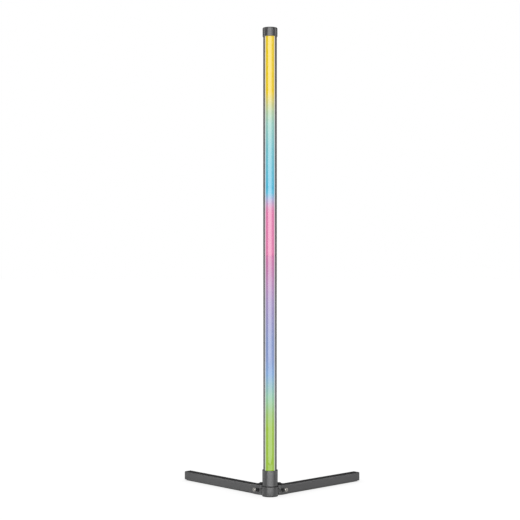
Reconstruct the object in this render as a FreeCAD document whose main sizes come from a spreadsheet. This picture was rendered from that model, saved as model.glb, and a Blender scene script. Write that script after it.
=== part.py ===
import FreeCAD
import Part
import Sketcher
import os
import re

# Corner floor lamp. Millimetres, +Z up, origin on the floor under the middle of the pole.
# The light leaves the pole towards -Y; the two legs run back from the hub at 45 degrees each.
# Leg pieces are drawn along +X from the pole's axis and then turned to their leg's heading.

SIZES = {
    # pole
    "pole_dia": 30.0,
    "pole_wall": 1.5,
    "section_length": 500.0,
    "mouth_half": 11.1,
    "mouth_back": -6.0,
    "rib_root": 0.3,
    "web_front": 3.0,
    "web_thick": 1.5,
    "ledge_front": -1.6,
    "ledge_thick": 1.2,
    "ledge_reach": 2.1,
    "port_x": 7.5,
    "port_y": 7.3,
    "port_outer_rad": 3.2,
    "port_bore_rad": 1.45,
    "diffuser_rad": 13.3,
    "diffuser_thick": 1.4,
    "diffuser_foot": 3.0,
    # strips of lights
    "strip_half": 5.0,
    "strip_thick": 0.5,
    "strip_margin": 6.0,
    "led_size": 5.0,
    "led_height": 1.6,
    "led_count": 29.0,
    # joint between the two sections
    "joint_bevel": 0.4,
    "spigot_half": 4.1,
    "spigot_front": 4.6,
    "spigot_back": 12.7,
    "spigot_length": 70.0,
    "spigot_bevel": 0.8,
    "set_screw_rad": 1.5,
    "set_screw_length": 6.0,
    "set_screw_sink": 0.2,
    "set_screw_key": 1.5,
    "set_screw_key_depth": 1.6,
    "set_screw_drill": 20.0,
    "set_screw_near": 10.0,
    "set_screw_pitch": 14.0,
    "link_width": 4.5,
    "link_depth": 3.8,
    "link_length": 8.0,
    # top cap
    "cap_dia": 33.0,
    "cap_skirt": 15.0,
    "cap_top": 5.0,
    "cap_round": 1.6,
    "cap_lip": 1.0,
    "sleeve_bore_dia": 30.2,
    # self-cutting screws in the profile's ports
    "port_screw_rad": 1.45,
    "port_screw_hole_rad": 1.8,
    "port_head_rad": 3.0,
    "port_head_height": 2.2,
    "port_head_round": 0.7,
    "port_head_sink": 0.3,
    "port_head_recess_rad": 3.3,
    "cross_reach": 1.7,
    "cross_half": 0.3,
    "cross_depth": 1.2,
    "port_screw_grip": 14.0,
    # pole socket
    "socket_top_dia": 34.6,
    "socket_foot_dia": 34.2,
    "socket_height": 36.0,
    "socket_floor": 11.0,
    "socket_recess": 4.0,
    "socket_edge": 0.8,
    "reveal": 0.8,
    "reveal_rad": 15.8,
    # hub
    "hub_dia": 35.5,
    "hub_top": 22.0,
    "hub_roof": 5.0,
    "hub_cavity_dia": 28.0,
    "hub_edge": 0.6,
    "pad_thick": 2.1,
    "pad_dia": 35.2,
    "pad_bevel": 0.3,
    "plate_thick": 1.5,
    "plate_dia": 29.6,
    "boss_x": 10.6,
    "boss_rad": 2.6,
    "boss_step_rad": 1.9,
    "plate_screw_rad": 1.0,
    "plate_screw_length": 10.0,
    "plate_screw_head_rad": 1.9,
    "plate_screw_key": 1.3,
    "plate_screw_key_depth": 0.6,
    # controller
    "board_base": 4.8,
    "board_thick": 1.6,
    "board_dia": 27.2,
    "board_bore_rad": 6.2,
    "spacer_rad": 3.2,
    "header_half": 3.2,
    "header_depth": 2.0,
    "header_height": 3.6,
    "processor_x": -7.5,
    "processor_y": -6.5,
    "processor_half": 2.0,
    "processor_height": 1.0,
    "driver_x": 7.0,
    "driver_y": -7.0,
    "driver_half_width": 1.5,
    "driver_half_depth": 2.0,
    "driver_height": 1.4,
    "capacitor_x": -7.4,
    "capacitor_y": 7.4,
    "capacitor_rad": 2.5,
    "capacitor_height": 5.5,
    "receiver_x": 7.0,
    "receiver_y": 7.0,
    "receiver_half_width": 2.0,
    "receiver_half_depth": 1.5,
    "receiver_height": 4.2,
    "jack_half": 3.2,
    "jack_height": 5.6,
    "jack_front": 7.5,
    "jack_shoulder": 13.4,
    "jack_nose_rad": 2.8,
    "jack_nose_end": 17.4,
    "jack_bore_rad": 1.9,
    "jack_bore_depth": 8.0,
    "jack_pin_rad": 0.65,
    "jack_window_rad": 2.9,
    "lead_y": -9.0,
    "lead_rad": 1.2,
    "lead_hole_rad": 2.2,
    "lead_bend_start": 34.0,
    "lead_bend_end": 43.0,
    "lead_end": 46.0,
    # pole bolt
    "pole_bolt_rad": 3.0,
    "pole_bolt_hole_rad": 3.3,
    "pole_bolt_head_rad": 5.0,
    "pole_bolt_head": 4.0,
    "pole_bolt_length": 15.0,
    "pole_washer_rad": 6.0,
    "pole_washer_thick": 1.0,
    "pole_bolt_key": 4.0,
    # hinge of a leg
    "hinge_reach": 28.1,
    "tongue_start": 15.5,
    "tongue_shoulder": 22.6,
    "tongue_shoulder_half": 8.9,
    "tongue_eye_rad": 6.0,
    "tongue_base": 7.25,
    "tongue_thick": 6.7,
    "hinge_bolt_rad": 2.5,
    "hinge_bore_rad": 2.55,
    "hinge_head_rad": 4.25,
    "hinge_head_height": 5.0,
    "hinge_head_round": 0.5,
    "hinge_bolt_length": 20.0,
    "hinge_key": 4.0,
    "hinge_key_depth": 2.5,
    "spot_face_rad": 4.6,
    "spot_face_depth": 0.5,
    "nut_flats": 8.0,
    "nut_height": 4.0,
    "nut_pocket_flats": 8.1,
    "nut_pocket_depth": 4.2,
    "washer_rad": 5.9,
    "washer_thick": 0.5,
    # knuckle
    "knuckle_base": 0.5,
    "knuckle_height": 21.4,
    "knuckle_half": 10.3,
    "knuckle_end_rad": 9.9,
    "knuckle_wide_from": 33.0,
    "knuckle_end": 45.2,
    "knuckle_edge": 0.7,
    "slot_base": 6.7,
    "slot_height": 7.8,
    "slot_end": 35.2,
    "bar_socket_start": 37.2,
    "bar_socket_half": 7.9,
    # leg screw
    "leg_screw_reach": 40.1,
    "leg_screw_level": 9.7,
    "leg_screw_rad": 2.5,
    "leg_screw_length": 10.0,
    "leg_screw_head_rad": 4.8,
    "leg_screw_head": 2.1,
    "leg_screw_crown_rad": 3.0,
    "leg_screw_key": 3.0,
    "leg_screw_key_depth": 1.9,
    # leg
    "leg_level": 11.2,
    "leg_size": 19.6,
    "leg_wall": 1.2,
    "leg_edge": 2.2,
    "leg_end": 284.0,
    "cap_plate": 3.0,
    "cap_plug": 12.0,
    "cap_plug_gap": 0.1,
    "cap_plug_wall": 1.6,
    "cap_edge": 1.2,
    "bar_half": 7.8,
    "bar_start": 37.5,
    "bar_end": 68.0,
    "bar_tube_half": 8.5,
    "bar_screw_reach": 57.0,
    "bar_screw_rad": 1.5,
    "bar_screw_head_rad": 2.8,
    "bar_screw_length": 8.0,
    "foot_reach": 262.0,
    "foot_half_length": 14.0,
    "foot_half_width": 6.0,
    "foot_round": 5.5,
    # clearances
    "loose_gap": 0.1,
    "close_gap": 0.05,
    # headings of the legs, degrees from +X
    "left_heading": 135.0,
    "right_heading": 45.0,
}

doc = FreeCAD.newDocument("corner_floor_lamp")
sheet = doc.addObject("Spreadsheet::Sheet", "dims")
for row, (alias, size) in enumerate(SIZES.items(), start=1):
    sheet.set("A%d" % row, alias)
    sheet.set("B%d" % row, str(size))
    sheet.setAlias("B%d" % row, alias)
doc.recompute()

sub_parts = []


def bound(expression):
    """Give each size in an expression the name of its sheet."""
    return re.sub(r"[a-z_]+", lambda m: "dims." + m[0] if m[0] in SIZES else m[0], expression)


def value(expression):
    """The present number behind an expression on the sheet's sizes."""
    return float(sheet.evalExpression(expression))


def sub_part(item, label):
    """Name an object as one of the lamp's sub-parts."""
    item.Label = label
    sub_parts.append(item)
    return item


def turned(item, heading):
    """Turn a leg's piece from +X to its leg's heading."""
    upright = FreeCAD.Vector(0, 0, 1)
    item.Placement = FreeCAD.Placement(
        FreeCAD.Vector(), FreeCAD.Rotation(upright, value(heading))
    )
    item.setExpression("Placement.Rotation.Angle", bound(heading))
    return item


class Outline:
    """A sketch on one of its body's own planes, fully pinned to the sheet's sizes."""

    def __init__(self, body, plane, lift="0", heading=None):
        self.sketch = body.newObject("Sketcher::SketchObject", body.Name + "_outline")
        for feature in body.Origin.OriginFeatures:
            if feature.Role == plane + "_Plane":
                self.sketch.AttachmentSupport = (feature, [""])
        self.sketch.MapMode = "FlatFace"
        if heading:
            turn = FreeCAD.Rotation(FreeCAD.Vector(0, 0, 1), value(heading))
            self.sketch.AttachmentOffset = FreeCAD.Placement(FreeCAD.Vector(), turn)
            self.sketch.setExpression("AttachmentOffset.Rotation.Angle", bound(heading))
        self.sketch.setExpression("AttachmentOffset.Base.z", bound(lift))

    def pin(self, shape, point, x, y):
        """Hold one point of a shape at x, y."""
        for kind, axis, place in (("DistanceX", -2, x), ("DistanceY", -1, y)):
            if abs(value(place)) < 1e-9:
                rule = Sketcher.Constraint("PointOnObject", shape, point, axis)
                self.sketch.addConstraint(rule)
            else:
                rule = Sketcher.Constraint(kind, -1, 1, shape, point, value(place))
                number = self.sketch.addConstraint(rule)
                self.sketch.setExpression("Constraints[%d]" % number, bound(place))

    def circle(self, x, y, radius):
        """A circle about x, y."""
        middle = FreeCAD.Vector(value(x), value(y), 0)
        ring = Part.Circle(middle, FreeCAD.Vector(0, 0, 1), value(radius))
        shape = self.sketch.addGeometry(ring, False)
        self.pin(shape, 3, x, y)
        number = self.sketch.addConstraint(Sketcher.Constraint("Radius", shape, value(radius)))
        self.sketch.setExpression("Constraints[%d]" % number, bound(radius))
        return self

    def polygon(self, *corners):
        """A closed run of straight lines through corners given as x, y."""
        spots = [FreeCAD.Vector(value(x), value(y), 0) for x, y in corners]
        ends = spots[1:] + spots[:1]
        sides = [
            self.sketch.addGeometry(Part.LineSegment(start, end), False)
            for start, end in zip(spots, ends)
        ]
        for side, after in zip(sides, sides[1:] + sides[:1]):
            self.sketch.addConstraint(Sketcher.Constraint("Coincident", side, 2, after, 1))
        for side, (x, y) in zip(sides, corners):
            self.pin(side, 1, x, y)
        return self

    def box(self, left, right, low, high):
        """A rectangle between two x and two y values."""
        return self.polygon((left, low), (right, low), (right, high), (left, high))

    def hexagon(self, x, y, flats):
        """A hexagon about x, y with two corners on the line y."""
        corner = "(%s) / sqrt(3)" % flats
        half = "(%s) / 2" % flats
        return self.polygon(
            (f"{x} + {corner}", y),
            (f"{x} + {corner} / 2", f"{y} + {half}"),
            (f"{x} - {corner} / 2", f"{y} + {half}"),
            (f"{x} - {corner}", y),
            (f"{x} - {corner} / 2", f"{y} - {half}"),
            (f"{x} + {corner} / 2", f"{y} - {half}"),
        )


class Piece:
    """One body, built feature by feature from outlines."""

    def __init__(self, label):
        self.body = doc.addObject("PartDesign::Body", label)
        self.body.Label = label

    def outline(self, plane="XY", lift="0", heading=None):
        return Outline(self.body, plane, lift, heading)

    def feature(self, kind, outline):
        feature = self.body.newObject("PartDesign::" + kind, self.body.Name + "_" + kind.lower())
        feature.Profile = outline.sketch
        return feature

    def pad(self, outline, length, back=False):
        """Raise material along the outline's normal, or against it."""
        feature = self.feature("Pad", outline)
        feature.setExpression("Length", bound(length))
        feature.Reversed = back
        return self

    def cut(self, outline, depth, back=False):
        """Take material away along the outline's normal, or against it."""
        feature = self.feature("Pocket", outline)
        feature.setExpression("Length", bound(depth))
        feature.Reversed = not back
        return self

    def spin(self, *corners):
        """Turn a section, given as radius and height, once round the upright axis."""
        section = self.outline("XZ").polygon(*corners)
        feature = self.feature("Revolution", section)
        feature.ReferenceAxis = (section.sketch, ["V_Axis"])
        feature.Angle = 360.0
        return self

    def round_edges(self, radius, chosen, kind="Fillet"):
        """Round, or bevel, the edges for which chosen says yes."""
        doc.recompute()
        last = self.body.Tip
        names = ["Edge%d" % n for n, edge in enumerate(last.Shape.Edges, 1) if chosen(edge)]
        feature = self.body.newObject("PartDesign::" + kind, self.body.Name + "_" + kind.lower())
        feature.Base = (last, names)
        feature.setExpression("Radius" if kind == "Fillet" else "Size", bound(radius))
        return self

    def repeat(self, count, step):
        """Repeat the last feature upwards, a step apart."""
        doc.recompute()
        first = self.body.Tip
        pattern = self.body.newObject("PartDesign::LinearPattern", self.body.Name + "_row")
        pattern.Originals = [first]
        upright = next(f for f in self.body.Origin.OriginFeatures if f.Role == "Z_Axis")
        pattern.Direction = (upright, [""])
        pattern.Mode = "Spacing"
        pattern.setExpression("Offset", bound(step))
        pattern.setExpression("Occurrences", bound(count))
        self.body.Tip = pattern
        return self

    def raised(self, height):
        """Lift the whole piece."""
        self.body.setExpression("Placement.Base.z", bound(height))
        return self

    def done(self):
        """Hand the piece in as a sub-part under its own name."""
        return sub_part(self.body, self.body.Label)


def mirrored_pair(piece, label, normal):
    """A group of two: the piece and its mirror image in the plane with this normal."""
    twin = doc.addObject("Part::Mirroring", label + "_twin")
    twin.Source = piece.body
    twin.Normal = normal
    pair = doc.addObject("Part::Compound", label)
    pair.Links = [piece.body, twin]
    return sub_part(pair, label)


def runs_along(axis):
    """Test for straight edges that run along an axis."""

    def test(edge):
        if not isinstance(edge.Curve, Part.Line):
            return False
        return abs(edge.tangentAt(edge.FirstParameter).dot(axis)) > 0.999

    return test


def circle_at(height, radius):
    """Test for level round edges of one radius at one height."""

    def test(edge):
        if not isinstance(edge.Curve, Part.Circle):
            return False
        level = abs(edge.Curve.Center.z - value(height)) < 0.01
        return level and abs(edge.Curve.Radius - value(radius)) < 0.01

    return test


# heights that several pieces share
POLE_FOOT = "hub_top + socket_floor"
POLE_JOINT = POLE_FOOT + " + section_length"
POLE_END = POLE_JOINT + " + section_length"
UPRIGHT = FreeCAD.Vector(0, 0, 1)
ALONG = FreeCAD.Vector(1, 0, 0)


# ---------------------------------------------------------------- pole

def build_profile(label, foot, joint_end):
    """An open round extrusion: lips, diffuser ledges, a web for the strip and two screw ports."""
    wall = "pole_dia / 2"
    inner = "pole_dia / 2 - pole_wall"
    piece = Piece(label)
    shell = piece.outline().circle("0", "0", wall).circle("0", "0", inner)
    piece.pad(shell, "section_length")
    meeting = "0" if joint_end == "foot" else "section_length"
    piece.round_edges("joint_bevel", circle_at(meeting, wall), "Chamfer")
    mouth = piece.outline().box("-mouth_half", "mouth_half", "-pole_dia", "mouth_back")
    piece.cut(mouth, "section_length")
    web = piece.outline().box(f"rib_root - ({inner})", f"{inner} - rib_root", "web_front",
                              "web_front + web_thick")
    piece.pad(web, "section_length")
    for side in ("1", "-1"):
        ledge_out = f"{side} * ({inner} + rib_root)"
        ledge_in = f"{side} * ({inner} - ledge_reach)"
        ledge = piece.outline().box(ledge_in, ledge_out, "ledge_front",
                                    "ledge_front + ledge_thick")
        piece.pad(ledge, "section_length")
        port = piece.outline().circle(f"{side} * port_x", "port_y", "port_outer_rad")
        piece.pad(port, "section_length")
        bore = piece.outline().circle(f"{side} * port_x", "port_y", "port_bore_rad")
        piece.cut(bore, "section_length")
    for step in ("set_screw_near", "set_screw_near + set_screw_pitch"):
        height = step if joint_end == "foot" else f"section_length - ({step})"
        hole = piece.outline("XZ", "-pole_dia").circle("0", height, "set_screw_rad")
        piece.cut(hole, "set_screw_drill")
    piece.raised(foot)
    return piece.done()


def build_diffuser(label, foot):
    """A milky cover, slid in behind the profile's lips and standing on its ledges."""
    inner = "diffuser_rad - diffuser_thick"
    edge = "ledge_front - loose_gap"
    piece = Piece(label)
    shell = piece.outline().circle("0", "0", "diffuser_rad").circle("0", "0", inner)
    piece.pad(shell, "section_length")
    open_back = piece.outline().box("-pole_dia", "pole_dia", edge, "pole_dia")
    piece.cut(open_back, "section_length")
    for side in ("1", "-1"):
        foot_out = f"{side} * (diffuser_rad - diffuser_thick / 2)"
        foot_in = f"{side} * (diffuser_rad - diffuser_foot)"
        hook = piece.outline().box(foot_in, foot_out, f"{edge} - diffuser_thick", edge)
        piece.pad(hook, "section_length")
    piece.raised(foot)
    return piece.done()


def build_lights(place, foot):
    """The strip on the profile's web, and its row of LEDs."""
    strip = Piece(place + "_led_strip")
    face = "web_front - strip_thick"
    band = strip.outline("XY", "strip_margin").box("-strip_half", "strip_half", face, "web_front")
    strip.pad(band, "section_length - 2 * strip_margin")
    strip.raised(foot)
    strip.done()

    leds = Piece(place + "_leds")
    pitch = "section_length / (led_count + 1)"
    half = "led_size / 2"
    chip = leds.outline("XY", f"{pitch} - {half}").box(
        "-" + half, half, f"{face} - led_height", face
    )
    leds.pad(chip, "led_size")
    leds.repeat("led_count", pitch)
    leds.raised(foot)
    leds.done()


def build_joint():
    """The spigot between the sections, its set screws, and the link between the strips."""
    spigot = Piece("joint_spigot")
    half = "spigot_length / 2"
    block = spigot.outline("XY", "-" + half).box(
        "-spigot_half", "spigot_half", "spigot_front", "spigot_back"
    )
    spigot.pad(block, "spigot_length")

    def at_an_end(edge):
        return abs(abs(edge.CenterOfMass.z) - value(half)) < 0.01

    spigot.round_edges("spigot_bevel", at_an_end, "Chamfer")
    levels = [f"{way} * ({step})" for way in ("1", "-1")
              for step in ("set_screw_near", "set_screw_near + set_screw_pitch")]
    tip = "pole_dia / 2 - set_screw_sink - set_screw_length"
    for level in levels:
        hole = spigot.outline("XZ", f"-({tip})").circle("0", level, "set_screw_rad")
        spigot.cut(hole, "set_screw_length", back=True)
    spigot.raised(POLE_JOINT)
    spigot.done()

    screws = []
    for level in levels:
        screw = Piece("set_screw")
        shank = screw.outline("XZ", f"-({tip})").circle("0", level, "set_screw_rad")
        screw.pad(shank, "set_screw_length", back=True)
        key = screw.outline("XZ", f"-({tip} + set_screw_length)")
        key.hexagon("0", level, "set_screw_key")
        screw.cut(key, "set_screw_key_depth")
        screw.raised(POLE_JOINT)
        screws.append(screw.body)
    group = doc.addObject("Part::Compound", "joint_screws")
    group.Links = screws
    sub_part(group, "joint_screws")

    for label, low in (("strip_link_socket", "-link_length"), ("strip_link_plug", "0")):
        link = Piece(label)
        body = link.outline("XY", low).box(
            "strip_half", "strip_half + link_width", "web_front - link_depth", "web_front"
        )
        link.pad(body, "link_length")
        link.raised(POLE_JOINT)
        link.done()


def build_port_screws(label, seat, upward):
    """Two pan-head screws that cut their thread in the ports of a profile."""
    screw = Piece(label + "_one")
    way = "" if upward else "-"
    head = screw.outline("XY", seat).circle("port_x", "port_y", "port_head_rad")
    screw.pad(head, "port_head_height", back=upward)
    shank = screw.outline("XY", seat).circle("port_x", "port_y", "port_screw_rad")
    screw.pad(shank, "port_screw_grip", back=not upward)
    crown = f"{seat} - ({way}1) * port_head_height"
    for across, deep in (("cross_reach", "cross_half"), ("cross_half", "cross_reach")):
        drive = screw.outline("XY", crown).box(
            f"port_x - {across}", f"port_x + {across}", f"port_y - {deep}", f"port_y + {deep}"
        )
        screw.cut(drive, "cross_depth", back=not upward)
    screw.round_edges("port_head_round", circle_at(crown, "port_head_rad"))
    return mirrored_pair(screw, label, ALONG)


def build_top_cap():
    """A short cap over the top of the pole, with two recessed screws."""
    outer = "cap_dia / 2"
    bore = "sleeve_bore_dia / 2"
    roof = "cap_skirt + cap_top"
    cap = Piece("top_cap")
    cap.spin(("0", "cap_skirt"), (bore, "cap_skirt"), (bore, "0"), (outer, "0"), (outer, roof),
             ("0", roof))
    for side in ("1", "-1"):
        hole = cap.outline("XY", roof).circle(f"{side} * port_x", "port_y", "port_screw_hole_rad")
        cap.cut(hole, "cap_top", back=True)
        recess = cap.outline("XY", roof).circle(
            f"{side} * port_x", "port_y", "port_head_recess_rad"
        )
        cap.cut(recess, "port_head_height + port_head_sink", back=True)
    cap.round_edges("cap_round", circle_at(roof, outer))
    cap.round_edges("cap_lip", circle_at("0", outer))
    cap.raised(f"{POLE_END} - cap_skirt")
    cap.done()
    seat = f"{POLE_END} + cap_top - port_head_height - port_head_sink"
    build_port_screws("cap_screws", seat, False)


def build_pole_socket():
    """The sleeve on the pole's foot: a thick floor for the pole bolt, a reveal at its base."""
    top = "socket_top_dia / 2"
    foot = "socket_foot_dia / 2"
    bore = "sleeve_bore_dia / 2"
    socket = Piece("pole_socket")
    socket.spin(("0", "0"), ("reveal_rad", "0"), ("reveal_rad", "reveal"), (foot, "reveal"),
                (top, "socket_height"), (bore, "socket_height"), (bore, "socket_floor"),
                ("0", "socket_floor"))
    bolt = socket.outline().circle("0", "0", "pole_bolt_rad")
    socket.cut(bolt, "socket_floor")
    lead = socket.outline().circle("0", "lead_y", "lead_hole_rad")
    socket.cut(lead, "socket_floor")
    for side in ("1", "-1"):
        hole = socket.outline().circle(f"{side} * port_x", "port_y", "port_screw_hole_rad")
        socket.cut(hole, "socket_floor")
        recess = socket.outline().circle(f"{side} * port_x", "port_y", "port_head_recess_rad")
        socket.cut(recess, "socket_recess")
    socket.round_edges("socket_edge", circle_at("socket_height", top))
    socket.raised("hub_top")
    socket.done()
    build_port_screws("socket_screws", "hub_top + socket_recess", True)


# ---------------------------------------------------------------- hub

def build_hub():
    """The round hub: a hollow ring with a roof, two board bosses and a tongue for each leg."""
    outer = "hub_dia / 2"
    cavity = "hub_cavity_dia / 2"
    ceiling = "hub_top - hub_roof"
    plate_top = "pad_thick + plate_thick"
    plate_seat = "plate_dia / 2"
    ring_top = "hub_top - reveal"
    hub = Piece("hub_ring")
    hub.spin(("0", ceiling), (cavity, ceiling), (cavity, plate_top), (plate_seat, plate_top),
             (plate_seat, "pad_thick"), (outer, "pad_thick"), (outer, ring_top),
             ("reveal_rad", ring_top), ("reveal_rad", "hub_top"), ("0", "hub_top"))
    hub.round_edges("hub_edge", circle_at(ring_top, outer))
    board_top = "board_base + board_thick"
    for side in ("1", "-1"):
        middle = f"{side} * boss_x"
        boss = hub.outline("XY", board_top).circle(middle, "0", "boss_rad")
        hub.pad(boss, f"{ceiling} - ({board_top})")
        neck = hub.outline("XY", plate_top).circle(middle, "0", "boss_step_rad")
        hub.pad(neck, f"{board_top} - ({plate_top})")
        thread = hub.outline("XY", plate_top).circle(middle, "0", "plate_screw_rad")
        hub.cut(thread, "plate_screw_length")
    for heading in ("left_heading", "right_heading"):
        shoulder = hub.outline("XY", "tongue_base", heading).box(
            "tongue_start", "tongue_shoulder", "-tongue_shoulder_half", "tongue_shoulder_half"
        )
        hub.pad(shoulder, "tongue_thick")
        neck = hub.outline("XY", "tongue_base", heading).box(
            "tongue_start", "hinge_reach", "-tongue_eye_rad", "tongue_eye_rad"
        )
        hub.pad(neck, "tongue_thick")
        eye = hub.outline("XY", "tongue_base", heading).circle(
            "hinge_reach", "0", "tongue_eye_rad"
        )
        hub.pad(eye, "tongue_thick")
        bore = hub.outline("XY", "tongue_base", heading).circle(
            "hinge_reach", "0", "hinge_bore_rad"
        )
        hub.cut(bore, "tongue_thick")
    bolt = hub.outline("XY", ceiling).circle("0", "0", "pole_bolt_hole_rad")
    hub.cut(bolt, "hub_roof")
    lead = hub.outline("XY", ceiling).circle("0", "lead_y", "lead_hole_rad")
    hub.cut(lead, "hub_roof")
    inlet_level = "board_base + board_thick + jack_height / 2"
    window = hub.outline("XZ", "-hub_dia").circle("0", inlet_level, "jack_window_rad")
    hub.cut(window, "hub_dia - jack_front")
    hub.done()


def build_hub_underside():
    """The bottom plate with its two flat-head screws, and the foot pad stuck over it."""
    plate_top = "pad_thick + plate_thick"
    plate = Piece("hub_bottom_plate")
    disc = plate.outline("XY", "pad_thick").circle("0", "0", "plate_dia / 2 - loose_gap")
    plate.pad(disc, "plate_thick")
    for side in ("1", "-1"):
        middle = f"{side} * boss_x"
        sink = plate.outline("XY", "pad_thick").circle(middle, "0", "plate_screw_head_rad")
        plate.cut(sink, "plate_thick / 2")
        hole = plate.outline("XY", "pad_thick").circle(middle, "0", "plate_screw_rad + loose_gap")
        plate.cut(hole, "plate_thick")
    plate.done()

    screw = Piece("hub_plate_screw")
    head_rad = "plate_screw_head_rad - close_gap"
    head = screw.outline("XY", "pad_thick").circle("boss_x", "0", head_rad)
    screw.pad(head, "plate_thick / 2")
    shank = screw.outline("XY", "pad_thick").circle("boss_x", "0", "plate_screw_rad")
    screw.pad(shank, "plate_screw_length")
    key = screw.outline("XY", "pad_thick").hexagon("boss_x", "0", "plate_screw_key")
    screw.cut(key, "plate_screw_key_depth")
    mirrored_pair(screw, "hub_plate_screws", ALONG)

    pad = Piece("hub_foot_pad")
    pad.pad(pad.outline().circle("0", "0", "pad_dia / 2"), "pad_thick")
    pad.round_edges("pad_bevel", circle_at("0", "pad_dia / 2"), "Chamfer")
    pad.done()

    spacer = Piece("board_spacer")
    sleeve = spacer.outline("XY", plate_top)
    sleeve.circle("boss_x", "0", "spacer_rad")
    sleeve.circle("boss_x", "0", "boss_step_rad + close_gap")
    spacer.pad(sleeve, f"board_base - ({plate_top})")
    mirrored_pair(spacer, "board_spacers", ALONG)


def build_controller():
    """The round board about the pole bolt, its parts, the power inlet and the lead upwards."""
    board_top = "board_base + board_thick"
    board = Piece("controller_board")
    disc = board.outline("XY", "board_base").circle("0", "0", "board_dia / 2")
    board.pad(disc, "board_thick")
    hole = board.outline("XY", "board_base").circle("0", "0", "board_bore_rad")
    board.cut(hole, "board_thick")
    for side in ("1", "-1"):
        seat = board.outline("XY", "board_base").circle(
            f"{side} * boss_x", "0", "boss_step_rad + loose_gap"
        )
        board.cut(seat, "board_thick")
    board.done()

    chips = Piece("controller_parts")
    header = chips.outline("XY", board_top).box(
        "-header_half", "header_half", "lead_y - header_depth", "lead_y + header_depth"
    )
    chips.pad(header, "header_height")
    for chip, wide, deep in (("processor", "processor_half", "processor_half"),
                             ("driver", "driver_half_width", "driver_half_depth"),
                             ("receiver", "receiver_half_width", "receiver_half_depth")):
        seat = chips.outline("XY", board_top).box(
            f"{chip}_x - {wide}", f"{chip}_x + {wide}", f"{chip}_y - {deep}", f"{chip}_y + {deep}"
        )
        chips.pad(seat, f"{chip}_height")
    capacitor = chips.outline("XY", board_top).circle(
        "capacitor_x", "capacitor_y", "capacitor_rad"
    )
    chips.pad(capacitor, "capacitor_height")
    chips.done()

    jack = Piece("dc_jack")
    housing = jack.outline("XY", board_top).box(
        "-jack_half", "jack_half", "jack_front", "jack_shoulder"
    )
    jack.pad(housing, "jack_height")
    level = f"{board_top} + jack_height / 2"
    nose = jack.outline("XZ", "-jack_shoulder").circle("0", level, "jack_nose_rad")
    jack.pad(nose, "jack_nose_end - jack_shoulder", back=True)
    barrel = jack.outline("XZ", "-jack_nose_end")
    barrel.circle("0", level, "jack_bore_rad")
    barrel.circle("0", level, "jack_pin_rad")
    jack.cut(barrel, "jack_bore_depth")
    jack.done()

    # the lead climbs beside the pole bolt and bends back to the solder pads of the lower strip
    front = value("lead_y")
    back = value("web_front - strip_thick - lead_rad")
    low = value("lead_bend_start")
    high = value("lead_bend_end")
    rise = (high - low) / 2
    run = (back - front) / 2
    spots = [
        FreeCAD.Vector(0, front, value(f"{board_top} + header_height")),
        FreeCAD.Vector(0, front, low),
        FreeCAD.Vector(0, front + run, low + rise),
        FreeCAD.Vector(0, back, high),
        FreeCAD.Vector(0, back, value("lead_end")),
    ]
    bend = (rise * rise + run * run) / (2 * run)
    half_chord = FreeCAD.Vector(0, run, rise) * 0.5
    bulge = bend - (bend * bend - half_chord.Length ** 2) ** 0.5
    inward = FreeCAD.Vector(0, rise, -run).normalize() * bulge
    path = Part.Wire([
        Part.LineSegment(spots[0], spots[1]).toShape(),
        Part.Arc(spots[1], spots[1] + half_chord - inward, spots[2]).toShape(),
        Part.Arc(spots[2], spots[2] + half_chord + inward, spots[3]).toShape(),
        Part.LineSegment(spots[3], spots[4]).toShape(),
    ])
    round_section = Part.Wire([Part.Circle(spots[0], UPRIGHT, value("lead_rad")).toShape()])
    lead = doc.addObject("Part::Feature", "pole_lead")
    lead.Shape = path.makePipeShell([round_section], True, True)
    sub_part(lead, "pole_lead")


def build_pole_bolt():
    """The bolt that draws the pole socket down on the hub, and its washer."""
    seat = "hub_top - hub_roof - pole_washer_thick"
    washer = Piece("pole_washer")
    ring = washer.outline("XY", seat)
    ring.circle("0", "0", "pole_washer_rad").circle("0", "0", "pole_bolt_rad + loose_gap")
    washer.pad(ring, "pole_washer_thick")
    washer.done()

    under = f"{seat} - pole_bolt_head"
    bolt = Piece("pole_bolt")
    bolt.spin(("0", under), ("pole_bolt_head_rad", under), ("pole_bolt_head_rad", seat),
              ("pole_bolt_rad", seat), ("pole_bolt_rad", f"{seat} + pole_bolt_length"),
              ("0", f"{seat} + pole_bolt_length"))
    key = bolt.outline("XY", under).hexagon("0", "0", "pole_bolt_key")
    bolt.cut(key, "pole_bolt_head / 2")
    bolt.done()


# ---------------------------------------------------------------- legs

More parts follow.
